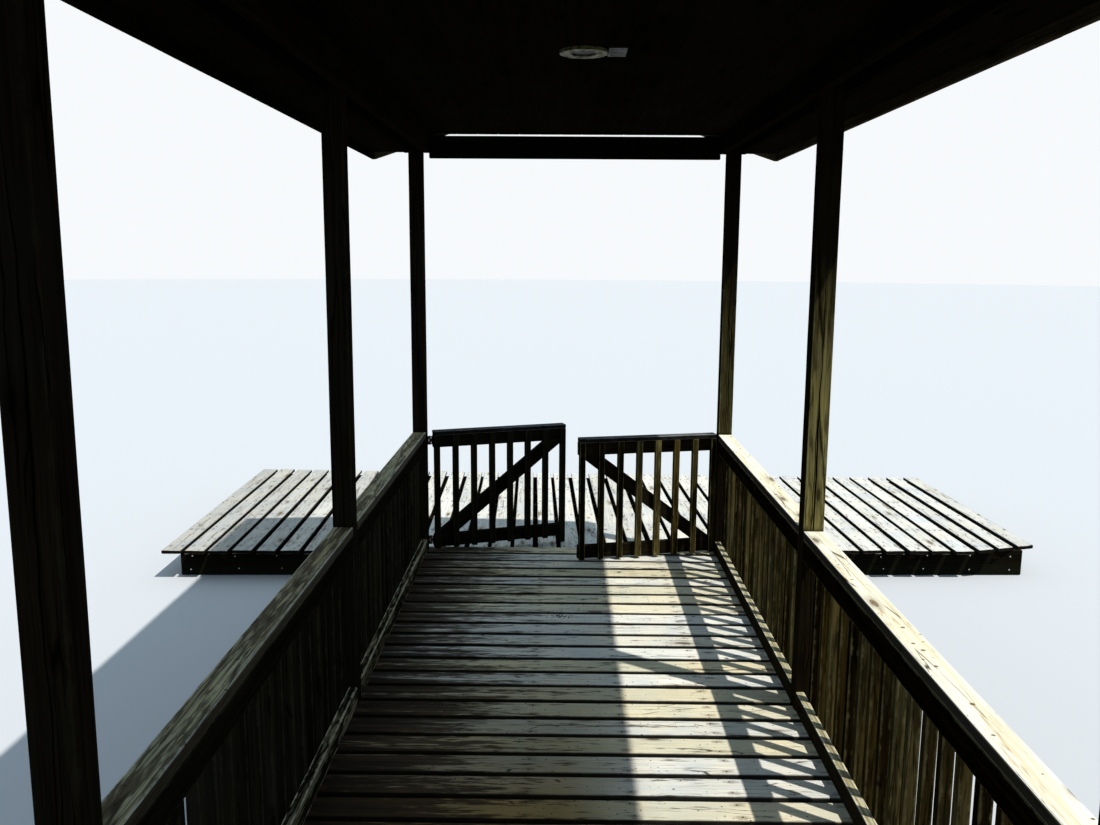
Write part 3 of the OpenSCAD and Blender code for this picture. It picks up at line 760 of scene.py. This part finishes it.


# Railings and their caps

# painted light: the left railing near-black as shade, the right railing olive as sunlit timber
railLooksShadedLeftLitRight = {
    "left": {"pale": "#332d21", "dark": "#14100a", "band": "#211c13", "grey": "#282822", "worn": "#544f40",
             "knot": "#0c0906", "crack": "#080603", "end": "#2b2519", "checks": 0.6, "toneLow": 0.4, "toneHigh": 1.3},
    "right": {"pale": "#857647", "dark": "#2b230f", "band": "#564929", "grey": "#565a42", "worn": "#958b62",
              "stain": "#211909", "other": "#a89c84", "knot": "#1f160c", "crack": "#0d0904", "end": "#4c4330",
              "checks": 0.7, "toneLow": 0.1, "toneHigh": 0.85}}
# painted light: the left foot rail pale as if lit by light off the sunlit deck, the right foot rail with painted
# shade on its sides
footLooksPaintedLight = {
    "left": {"pale": "#b5a682", "dark": "#241c11", "band": "#5b4f36", "grey": "#77756a", "worn": "#cfc6a9",
             "wear": 0.8, "knot": "#2b2114", "crack": "#100b06", "end": "#8f8160", "checks": 0.9, "checkWidth": 0.2,
             "patch": 0.1, "stain": "#120d07", "stainShare": 0.6, "stainDepth": 0.95},
    "right": {"pale": "#dcd2ab", "dark": "#6b5f42", "band": "#a3966c", "grey": "#a3a07d", "worn": "#efe8cc",
              "wear": 0.8, "knot": "#2b2114", "crack": "#100b06", "end": "#7d6f4e", "checks": 0.8,
              "checkWidth": 0.12, "patch": 0.1, "sideDirtAndShade": "#0f0b06", "sideDirtAndShadeDepth": 0.97}}
# painted light: the left cap darker as shade, the right cap near-white as sunlit timber
capLooksShadedLeftLitRight = {
    "left": {"gloss": 0.12, "pale": "#cfc9a2", "dark": "#463d22", "band": "#8a8052", "grey": "#a3a68c",
             "greyShare": 0.35, "worn": "#dfe0d0", "stain": "#2b2512", "stainShare": 0.5, "stainDepth": 0.85,
             "wear": 0.6, "knot": "#15100a", "knots": 0.35, "crack": "#0a0704", "end": "#6f6552", "checks": 0.95,
             "checkLength": 0.8, "checkWidth": 0.18, "checkSpacing": 0.018, "patch": 0.16, "across": 60.0,
             "toneLow": 0.85, "specks": 0.2, "speckGap": 0.05, "sideDirtAndShade": "#191409", "sideDirtAndShadeDepth": 0.95},
    "right": {"pale": "#fffbee", "dark": "#d9cea6", "band": "#f4ebcb", "grey": "#ebe6d2", "greyShare": 0.3,
              "worn": "#fffdf4", "stain": "#b08d52", "stainShare": 0.2, "stainDepth": 0.6, "wear": 0.6,
              "knot": "#5f4a28", "knots": 0.22, "crack": "#2b2114", "end": "#8a7d60", "checks": 0.7,
              "checkLength": 0.7, "checkWidth": 0.1, "patch": 0.12, "across": 55.0, "toneLow": 0.94, "specks": 0.3,
              "speckGap": 0.06, "speck": "#6b4a22", "sideDirtAndShade": "#110d07", "sideDirtAndShadeDepth": 0.97}}
rng = random.Random(53)
for sign, side in sides:
    store = newStore()
    caps, feet = newStore(), newStore()
    for bay in range(3):
        a, b = postY[bay] + post, postY[bay + 1]
        run = b - a
        count = math.floor((run - pier["baluster"]) / pier["balusterPitch"])
        first = a + (run - (count - 1) * pier["balusterPitch"]) / 2
        x = centreX + sign * (halfClear + narrow / 2)
        xr = centreX + sign * (halfClear + half)
        addPlank(feet, (xr, a), (xr, b), deckTop + narrow / 2 + 0.001, narrow - 0.002, rng, radius=0.005, step=0.06,
                 fine=True, ragged=0.004)
        # the top rail near-black: painted shade on its inner face
        addPlank(store, (xr, a), (xr, b), capLow - narrow / 2, narrow, rng, shade=0.05)
        xb = centreX + sign * (halfClear + plank + pier["baluster"] / 2)
        for i in range(count):
            y = first + i * pier["balusterPitch"] + rng.uniform(-0.004, 0.004)
            lean = rng.uniform(-0.003, 0.003)
            addBoard(store, (xb, y - lean, deckTop + 0.0005), (xb, y + lean, capLow), (0, 1, 0), pier["baluster"],
                     pier["baluster"], rng, step=0.2, bow=0.003)
        addBoard(caps, (x, a + 0.001, capLow + half), (x, b - 0.001, capLow + half), (1, 0, 0), narrow,
                 plank - skin, rng, radius=0.005, step=0.05, fine=True, bow=0.002, cup=0.0006)
    finishPiece(store, side + "Railings", timber(side + "PaintedLightRailTimber", railLooksShadedLeftLitRight[side]))
    finishPiece(feet, side + "FootRails", timber(side + "PaintedLightFootTimber", footLooksPaintedLight[side]))
    finishPiece(caps, side + "RailCaps", timber(side + "PaintedLightCapTimber", capLooksShadedLeftLitRight[side]))
print("railings up")


# Gates

gate = {"gap": 0.013, "meet": 0.013, "pinOut": 0.008, "strap": 0.003, "foot": 0.012, "stileGap": 0.008,
        "capThick": 0.028, "uprights": 8, "braceIn": 0.075, "swing": {"left": 20.5, "right": 13.5},
        # painted light: each upright of the right leaf set lit or shaded one by one
        "uprightShade": {"left": [0.5] * 8, "right": (0.0, 0.4, 1.0, 0.85, 0.55, 0.12, 0.05, 0.0)}}
gate["leaf"] = halfClear - gate["meet"] / 2 - 2 * gate["gap"]
# painted light: the left leaf's uprights near-black as shade, the right leaf's olive as sunlit timber
gateLooks = {
    "leftRails": {"pale": "#292319", "dark": "#110d08", "band": "#1c170f", "grey": "#23231f", "worn": "#4b473d",
                  "knot": "#0b0805", "crack": "#060403", "end": "#2f2a1e", "checks": 0.6},
    "rightRails": {"pale": "#2d2519", "dark": "#120d07", "band": "#1f180e", "grey": "#26241e", "worn": "#544d3e",
                   "knot": "#0b0805", "crack": "#060403", "end": "#2f2a1e", "checks": 0.6},
    "leftUprights": {"pale": "#2e281c", "dark": "#130f09", "band": "#1f1910", "grey": "#272620", "worn": "#545041",
                     "wear": 0.35, "knot": "#0b0805", "crack": "#060403", "end": "#2f2a1e", "checks": 0.6},
    "rightUprights": {"pale": "#a0935a", "dark": "#413719", "band": "#6b5e34", "grey": "#5a5638", "worn": "#b3a878",
                      "stain": "#231b0b", "stainShare": 0.45, "other": "#a8997c", "knot": "#1d150b",
                      "crack": "#120c06", "end": "#5a5038", "checks": 0.7, "toneLow": 0.07, "toneHigh": 0.95},
    "caps": {"pale": "#6d6a62", "dark": "#24211c", "band": "#3b3832", "grey": "#6b727a", "greyShare": 0.55,
             "worn": "#b4b4ad", "wear": 0.7, "knot": "#171210", "crack": "#0d0a07", "end": "#3b3225", "checks": 0.8,
             "sideDirtAndShade": "#0e0b07", "sideDirtAndShadeDepth": 0.95}}
gateTimber = {key: timber(key[0].upper() + key[1:] + "GateTimber", look) for key, look in gateLooks.items()}
leafZ = deckTop + gate["foot"]
leafTop = railTop - gate["capThick"]
upperRailZ = leafTop - narrow
pins = {joint["child"]: Vector(joint["pos_m"]) for joint in frame["record"]["behaviour"]["joints"]}
for sign, side in sides:
    body = side + "_gate"
    swing = math.radians(gate["swing"][side])
    turnLeaf = Matrix.Translation(Vector((pins[body].x, pins[body].y, 0))) @ Matrix.Rotation(swing, 4, "Z")
    way = -sign  # a leaf runs from its hinge towards the middle

    def onLeaf(x, y, z):
        return turnLeaf @ Vector((way * (gate["gap"] + x), y, z))

    sideways, through = (turnLeaf.to_3x3() @ Vector(way) for way in ((1, 0, 0), (0, 1, 0)))
    railY = -gate["pinOut"] - half
    uprightY = -gate["pinOut"] - plank - pier["baluster"] / 2
    rng = random.Random(61 + sign)
    store = newStore()
    for z in (leafZ + narrow / 2, upperRailZ + narrow / 2):
        addBoard(store, onLeaf(0, railY, z), onLeaf(gate["leaf"], railY, z), (0, 0, 1), narrow, plank, rng,
                 step=0.08)
    finishPiece(store, side + "GateRails", gateTimber[side + "Rails"], body)
    strapBolts, plateBolts = newStore(), newStore()
    strapFace = -gate["pinOut"] + gate["strap"]
    for z in (leafZ + narrow / 2, upperRailZ + narrow / 2):
        for x in (0.03, 0.095, 0.16):
            addNail(strapBolts, onLeaf(x, strapFace, z), through, 0.0065, 0.0025)
        for x, lift in ((0.032, 0.016), (0.058, -0.016)):
            spot = (pins[body].x + sign * x, pins[body].y + strapFace, z + lift)
            addNail(plateBolts, spot, (0, 1, 0), 0.0055, 0.002)
    finishPiece(strapBolts, side + "StrapBolts", oldNail, body)
    finishPiece(plateBolts, side + "PlateBolts", oldNail)
    store = newStore()
    for i in range(gate["uprights"]):
        x = pier["baluster"] / 2 + i * (gate["leaf"] - pier["baluster"]) / (gate["uprights"] - 1)
        footZ = topZ + gate["stileGap"] if side == "left" and i == gate["uprights"] - 1 else leafZ
        addBoard(store, onLeaf(x, uprightY, footZ), onLeaf(x, uprightY, leafTop), sideways, pier["baluster"],
                 pier["baluster"], rng, step=0.1, bow=0.0015, shade=gate["uprightShade"][side][i])
    finishPiece(store, side + "GateUprights", gateTimber[side + "Uprights"], body)
    store = newStore()
    lowZ = leafZ + narrow
    run, rise = gate["leaf"] - 2 * gate["braceIn"], upperRailZ - lowZ
    middle, slant = Vector((gate["leaf"] / 2, lowZ + rise / 2)), math.atan2(rise, run)
    reachOut = gate["leaf"] * 0.75
    a = middle - Vector((math.cos(slant), math.sin(slant))) * reachOut
    b = middle + Vector((math.cos(slant), math.sin(slant))) * reachOut
    faces = addBoard(store, onLeaf(a.x, railY, a.y), onLeaf(b.x, railY, b.y), (0, 0, 1), narrow, plank, rng,
                     step=0.08)
    for point, normal in ((onLeaf(0, 0, lowZ), Vector((0, 0, -1))), (onLeaf(0, 0, upperRailZ), Vector((0, 0, 1))),
                          (onLeaf(0, 0, lowZ), -way * sideways), (onLeaf(gate["leaf"], 0, lowZ), way * sideways)):
        faces = cutBoard(store, faces, point, normal)
    finishPiece(store, side + "GateBrace", gateTimber[side + "Rails"], body)
    store = newStore()
    capY = -gate["pinOut"] - (plank + pier["baluster"]) / 2
    capZ = leafTop + gate["capThick"] / 2
    addBoard(store, onLeaf(0, capY, capZ), onLeaf(gate["leaf"], capY, capZ), through, plank + pier["baluster"],
             gate["capThick"] - skin, rng, radius=0.004, step=0.05, fine=True, bow=0.001)
    finishPiece(store, side + "GateCap", gateTimber["caps"], body)
print("gates hung")


# Beams, headers and ceiling

# near-black: dark unweathered timber, darkened further as painted shade under the roof
roofLook = {"pale": "#1d1811", "dark": "#0d0a07", "band": "#15110c", "grey": "#191814", "worn": "#2b271f",
            "wear": 0.25, "knot": "#070503", "crack": "#030202", "end": "#2b261d"}
roofTimber = timber("roofTimber", roofLook)
rng = random.Random(71)
store = newStore()
for sign, side in sides:
    for x in (halfClear - half, halfOut + half):
        x = centreX + sign * x
        addPlank(store, (x, shoreY), (x, lakeY), beamTop - wide / 2, wide, rng, step=0.3)
finishPiece(store, "sideBeams", roofTimber)
store = newStore()
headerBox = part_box("end_headers")
for y in (shoreY + half, lakeY - half):
    z = (headerBox[0][2] + headerBox[1][2]) / 2
    addPlank(store, (headerBox[0][0], y), (headerBox[1][0], y), z, wide, rng, step=0.15)
finishPiece(store, "endHeaders", roofTimber)
ceilingLook = dict(roofLook, pale="#1a1610", dark="#0f0c09", band="#15120d", wear=0.2, across=40.0)
ceilingTimber = timber("ceilingTimber", ceilingLook)
ceilingSize = {"board": 0.14}
store = newStore()
low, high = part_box("ceiling")
count = round((high[0] - low[0]) / ceilingSize["board"])
width = (high[0] - low[0]) / count
for i in range(count):
    x = low[0] + (i + 0.5) * width
    cuts = [low[1], low[1] + rng.uniform(2.2, 4.9), high[1]]
    for a, b in zip(cuts, cuts[1:]):
        z = (ceilingZ + beamTop) / 2
        addBoard(store, (x, a + 0.0005, z), (x, b - 0.0005, z), (1, 0, 0), width - 0.001, trim - skin, rng,
                 radius=0.003, step=0.4, bow=0.0)
finishPiece(store, "ceilingBoards", ceilingTimber, node="ceiling")
print("ceiling up")


# Eaves and gables

# painted light: the right fascia lighter than the left as sunlit timber
fasciaLooksShadedLeftLitRight = {
    "left": roofLook, "right": dict(roofLook, pale="#4b4130", dark="#251e14", band="#382f21", worn="#6f6650")}
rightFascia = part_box("right_fascia")
fasciaX = rightFascia[1][0] - centreX
fasciaZ, fasciaHigh = rightFascia[0][2], rightFascia[1][2]
roofPitch = math.radians(18.4)
slope = math.tan(roofPitch)
ridgeZ = fasciaHigh + fasciaX * slope
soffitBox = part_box("soffit_boards")
rng = random.Random(83)
for sign, side in sides:
    store = newStore()
    x = centreX + sign * (fasciaX - trim / 2)
    ends = [rightFascia[0][1], rightFascia[0][1] + 3.66, rightFascia[1][1]]
    for a, b in zip(ends, ends[1:]):
        addBoard(store, (x, a, (fasciaZ + fasciaHigh) / 2), (x, b, (fasciaZ + fasciaHigh) / 2), (0, 0, 1), wide,
                 trim, rng, step=0.2, bow=0.0008)
    finishPiece(store, side + "Fascia", timber(side + "FasciaTimber", fasciaLooksShadedLeftLitRight[side]))
store = newStore()
for sign, side in sides:
    inner, outer = floorHalf, fasciaX - trim
    x = centreX + sign * (inner + outer) / 2
    ends = [soffitBox[0][1], soffitBox[0][1] + 2.44, soffitBox[0][1] + 4.88, soffitBox[1][1]]
    for a, b in zip(ends, ends[1:]):
        z = (soffitBox[0][2] + soffitBox[1][2]) / 2
        addBoard(store, (x, a, z), (x, b, z), (1, 0, 0), outer - inner, soffitBox[1][2] - soffitBox[0][2], rng,
                 radius=0.001, step=0.4, bow=0.0)
finishPiece(store, "soffits", ceilingTimber, node="soffit_boards")


def roofZ(x):
    return ridgeZ - abs(x) * slope


gableLook = {"pale": "#7d7150", "dark": "#43391f", "band": "#5f5436", "grey": "#5f5d50", "worn": "#958a68",
             "wear": 0.4, "knot": "#1d150b", "crack": "#140e07", "end": "#5a5038"}
gableTimber = timber("gableTimber", gableLook)
for end, y, out in (("lake", lakeY + trim / 2, 1), ("shore", shoreY - trim / 2, -1)):
    store = newStore()
    step = 0.135
    x = -fasciaX + trim
    while x < fasciaX - trim - 0.01:
        right = min(x + step, fasciaX - trim)
        base = ceilingZ if abs((x + right) / 2) < halfClear - plank else soffitBox[0][2]
        mid = (x + right) / 2
        faces = addBoard(store, (centreX + mid, y, base), (centreX + mid, y, ridgeZ + 0.05), (1, 0, 0),
                         right - x - 0.002, trim, rng, radius=0.002, step=0.2, bow=0.0, ragged=0.0)
        for turned in (-1, 1):
            faces = cutBoard(store, faces, Vector((centreX, y, ridgeZ)),
                             Vector((turned * math.sin(roofPitch), 0, math.cos(roofPitch))))
        x = right
    finishPiece(store, end + "Gable", gableTimber)
    store = newStore()
    y2 = y + out * trim
    for sign, side in sides:
        a = Vector((centreX - sign * 0.05, y2, roofZ(0) + 0.05 * slope - wide / 2 / math.cos(roofPitch)))
        b = Vector((centreX + sign * (fasciaX + 0.05), y2, roofZ(fasciaX + 0.05) - wide / 2 / math.cos(roofPitch)))
        faces = addBoard(store, a, b, (0, 0, 1), wide, trim, rng, step=0.15, bow=0.0006)
        faces = cutBoard(store, faces, Vector((centreX, y2, 0)), Vector((-sign, 0, 0)))
        faces = cutBoard(store, faces, Vector((centreX + sign * fasciaX, y2, 0)), Vector((sign, 0, 0)))
        faces = cutBoard(store, faces, Vector((centreX, y2, fasciaZ)), Vector((0, 0, -1)))
    finishPiece(store, end + "Rakes", gableTimber)
print("eaves and gables closed")


# Shingles

def makeShingleFinish():
    made, tree, shader = startMaterial("shingleFinish")
    spot = objectPlace(tree)
    grit = noiseAt(tree, spot, 2.0, 420.0, 0.8)
    colour = mix(tree, ramp(tree, grit, 0.35, 0.65), tint("#2f2f31"), tint("#7a7a78"))
    tone = flatCoords(tree, "tone")[0]
    colour = mix(tree, 1.0, colour, greyLevel(tree, tone, 0.7, 1.15), "MULTIPLY")
    moss = noiseAt(tree, spot, 7.0, 3.5, 0.65)
    colour = mix(tree, ramp(tree, moss, 0.55, 0.75, 0.0, 0.6), colour, tint("#3c4130"))
    run = put(tree, "Mapping", {"Vector": spot, "Scale": (6.0, 25.0, 2.0)})
    streak = noiseAt(tree, run.outputs[0], 3.0)
    colour = mix(tree, ramp(tree, streak, 0.5, 0.75, 0.0, 0.4), colour, tint("#1e1e1f"))
    fill(tree, shader, {"Base Color": colour, "Roughness": 0.93})
    addBump(tree, shader, grit, 0.7, 0.0015)
    return made


shingles = {"tab": 0.305, "slot": 0.006, "course": 0.14, "over": 0.012, "wing": 0.152, "ridgeTab": 0.2}
shingleFinish = makeShingleFinish()
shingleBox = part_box("right_shingles")
eaveX = fasciaX + shingles["over"]
slopeLong = eaveX / math.cos(roofPitch)
courses = math.ceil(slopeLong / shingles["course"])
course = slopeLong / courses
baseLift = (0.012 + 0.0001) / math.cos(roofPitch)  # the sheathing's thickness and a hair


def onRoof(sign, u, y, v):
    x = eaveX - u * math.cos(roofPitch) + v * math.sin(roofPitch)
    z = roofZ(eaveX) + baseLift + u * math.sin(roofPitch) + v * math.cos(roofPitch)
    return Vector((centreX + sign * max(x, 0.0), y, z))


def addSlab(store, corners, lift, rng):
    # a thin piece on four corners, its lower faces at the corners and its upper ones lifted by each corner's height
    bm = store["bm"]
    tone = (rng.random(), rng.random())
    lowers = [bm.verts.new(c) for c in corners]
    uppers = [bm.verts.new(c + l) for c, l in zip(corners, lift)]
    quads = [lowers[::-1], uppers]
    quads += [[lowers[i], lowers[(i + 1) % 4], uppers[(i + 1) % 4], uppers[i]] for i in range(4)]
    for quad in quads:
        face = bm.faces.new(quad)
        for loop in face.loops:
            loop[store["tone"]].uv = tone
            loop[store["grain"]].uv = (loop.vert.co.y, loop.vert.co.x)


for sign, side in sides:
    store = newStore()
    rng = random.Random(97 + sign)
    y0, y1 = shingleBox[0][1], shingleBox[1][1]
    normal = Vector((sign * math.sin(roofPitch), 0, math.cos(roofPitch)))
    addSlab(store, [onRoof(sign, 0.002, y0 + 0.002, 0), onRoof(sign, 0.002, y1 - 0.002, 0),
                    onRoof(sign, slopeLong, y1 - 0.002, 0), onRoof(sign, slopeLong, y0 + 0.002, 0)],
            [normal * 0.002] * 4, rng)
    for c in range(courses):
        y = y0 - (0.15 if c % 2 else 0.0)
        while y < y1 - 0.01:
            a, b = max(y, y0), min(y + shingles["tab"] - shingles["slot"], y1)
            if b - a > 0.02:
                u = c * course + rng.uniform(0.0, 0.004)
                top = min((c + 1) * course + 0.03, slopeLong)
                h = 0.0072 + rng.uniform(-0.0006, 0.0006)
                corners = ((u, a, 0.002), (u, b, 0.002), (top, b, 0.001), (top, a, 0.001))
                addSlab(store, [onRoof(sign, *at) for at in corners],
                        [normal * (h - 0.002)] * 2 + [normal * 0.0018] * 2, rng)
            y += shingles["tab"]
    finishPiece(store, side + "Shingles", shingleFinish)
store = newStore()
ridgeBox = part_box("ridge_cap")
rng = random.Random(103)
under = ridgeBox[1][2] - 0.0055
y = ridgeBox[0][1]
while y < ridgeBox[1][1] - 0.02:
    b = min(y + shingles["ridgeTab"], ridgeBox[1][1])
    for sign, side in sides:
        out = shingles["wing"] * Vector((sign * math.cos(roofPitch), 0, -math.sin(roofPitch)))
        a0, b0 = Vector((centreX, y, under)), Vector((centreX, b, under - 0.003))
        addSlab(store, [a0, b0, b0 + out, a0 + out], [Vector((0, 0, 0.005))] * 4, rng)
    y += shingles["course"]
finishPiece(store, "ridgeCaps", shingleFinish, node="ridge_cap")
print("roof covered")


# Carried-over metal, plywood and trusses

def dress(nodeName, material):
    for slot in frame["nodes"][nodeName].material_slots:
        slot.material = material


for nodeName in ("left_gate_straps", "right_gate_straps", "post_hinges"):
    dress(nodeName, zinc)
trussTimber = makeSheetTimber("trussTimber", "#a08a5c", "#6d5a38")
plywood = makeSheetTimber("plywood", "#8d7c58", "#5c4e34")
dress("roof_trusses", trussTimber)
dress("left_sheathing", plywood)
dress("right_sheathing", plywood)


# Ceiling light

def makePaintedTrim(name, pale, dark):
    made, tree, shader = startMaterial(name)
    spot = objectPlace(tree)
    dirt = noiseAt(tree, spot, 6.0, 38.0, 0.65)
    colour = mix(tree, ramp(tree, dirt, 0.4, 0.68), tint(pale), tint(dark))
    fill(tree, shader, {"Base Color": colour, "Roughness": ramp(tree, dirt, 0.35, 0.7, 0.45, 0.75),
                        "Specular IOR Level": 0.1})
    addBump(tree, shader, dirt, 0.2, 0.0008)
    return made


dress("light_ring", makePaintedTrim("lightTrim", "#6a6846", "#222216"))
dress("light_cover", makePaintedTrim("coverPlate", "#26251f", "#0f0e0b"))
dress("light_lens", makePaintedTrim("darkLens", "#1a1916", "#0c0b0a"))


# Stage, lights and camera

def backgroundShare(tree):  # 1 where the camera looks, also by way of metal or glass
    rays = put(tree, "LightPath").outputs
    return calc(tree, "MAXIMUM", rays["Is Camera Ray"],
                calc(tree, "MAXIMUM", rays["Is Glossy Ray"], rays["Is Transmission Ray"]))


def makeStage():
    floor = bpy.data.meshes.new("floor")
    bm = bmesh.new()
    bmesh.ops.create_circle(bm, cap_ends=True, radius=90.0, segments=96)
    bm.to_mesh(floor)
    bm.free()
    piece = bpy.data.objects.new("floor", floor)
    piece.location = (0, 0, -0.0015)
    bpy.context.scene.collection.objects.link(piece)
    made, tree, shader = startMaterial("paleFloor")
    floorColour = mix(tree, backgroundShare(tree), (0.1, 0.11, 0.12, 1), (0.6, 0.615, 0.63, 1))
    fill(tree, shader, {"Base Color": floorColour, "Roughness": 0.9})
    floor.materials.append(made)


stageLight = {"sun": 3.45, "sunWay": (-0.42, 0.285, -1.0), "softness": 0.7, "world": 0.56}
makeStage()
world = bpy.data.worlds.new("studio")
bpy.context.scene.world = world
world.use_nodes = True
tree = world.node_tree
background = tree.nodes["Background"]
background.inputs[0].default_value = (0.64, 0.83, 1.0, 1)
background.inputs[1].default_value = stageLight["world"]
backdrop = put(tree, "Background", {0: (0.93, 0.95, 0.97, 1), 1: 1.0})
blend = put(tree, "MixShader", {0: backgroundShare(tree), 1: background.outputs[0], 2: backdrop.outputs[0]})
tree.links.new(blend.outputs[0], tree.nodes["World Output"].inputs[0])
sun = bpy.data.lights.new("keyLight", "SUN")
sun.energy = stageLight["sun"]
sun.color = (1.0, 0.98, 0.94)
sun.angle = math.radians(stageLight["softness"])
lamp = bpy.data.objects.new("keyLight", sun)
lamp.rotation_euler = Vector(stageLight["sunWay"]).to_track_quat("-Z", "Y").to_euler()
lamp.location = (6, -6, 12)
bpy.context.scene.collection.objects.link(lamp)

view = {"focal": 981.35, "imageWidth": 1100, "pitch": 0.1584, "yaw": -0.0107, "roll": -0.0061, "aside": -0.0788,
        "behind": 6.4589, "above": 1.9996}
forward = Vector((math.sin(view["yaw"]) * math.cos(view["pitch"]),
                  math.cos(view["yaw"]) * math.cos(view["pitch"]), -math.sin(view["pitch"])))
level = Vector((math.cos(view["yaw"]), -math.sin(view["yaw"]), 0))
down = forward.cross(level)
right = math.cos(view["roll"]) * level + math.sin(view["roll"]) * down
down = math.cos(view["roll"]) * down - math.sin(view["roll"]) * level
cameraData = bpy.data.cameras.new("camera")
cameraData.sensor_width = 36.0
cameraData.lens = view["focal"] / view["imageWidth"] * 36.0
cameraData.clip_end = 300.0
camera = bpy.data.objects.new("camera", cameraData)
spot = Vector((centreX + view["aside"], lakeY - post - view["behind"], deckTop + view["above"]))
axes = Matrix((right, -down, -forward)).transposed()
camera.matrix_world = Matrix.Translation(spot) @ axes.to_4x4()
bpy.context.scene.collection.objects.link(camera)
bpy.context.scene.camera = camera
bpy.context.scene.view_settings.view_transform = "Standard"
print("stage, lights and camera set")
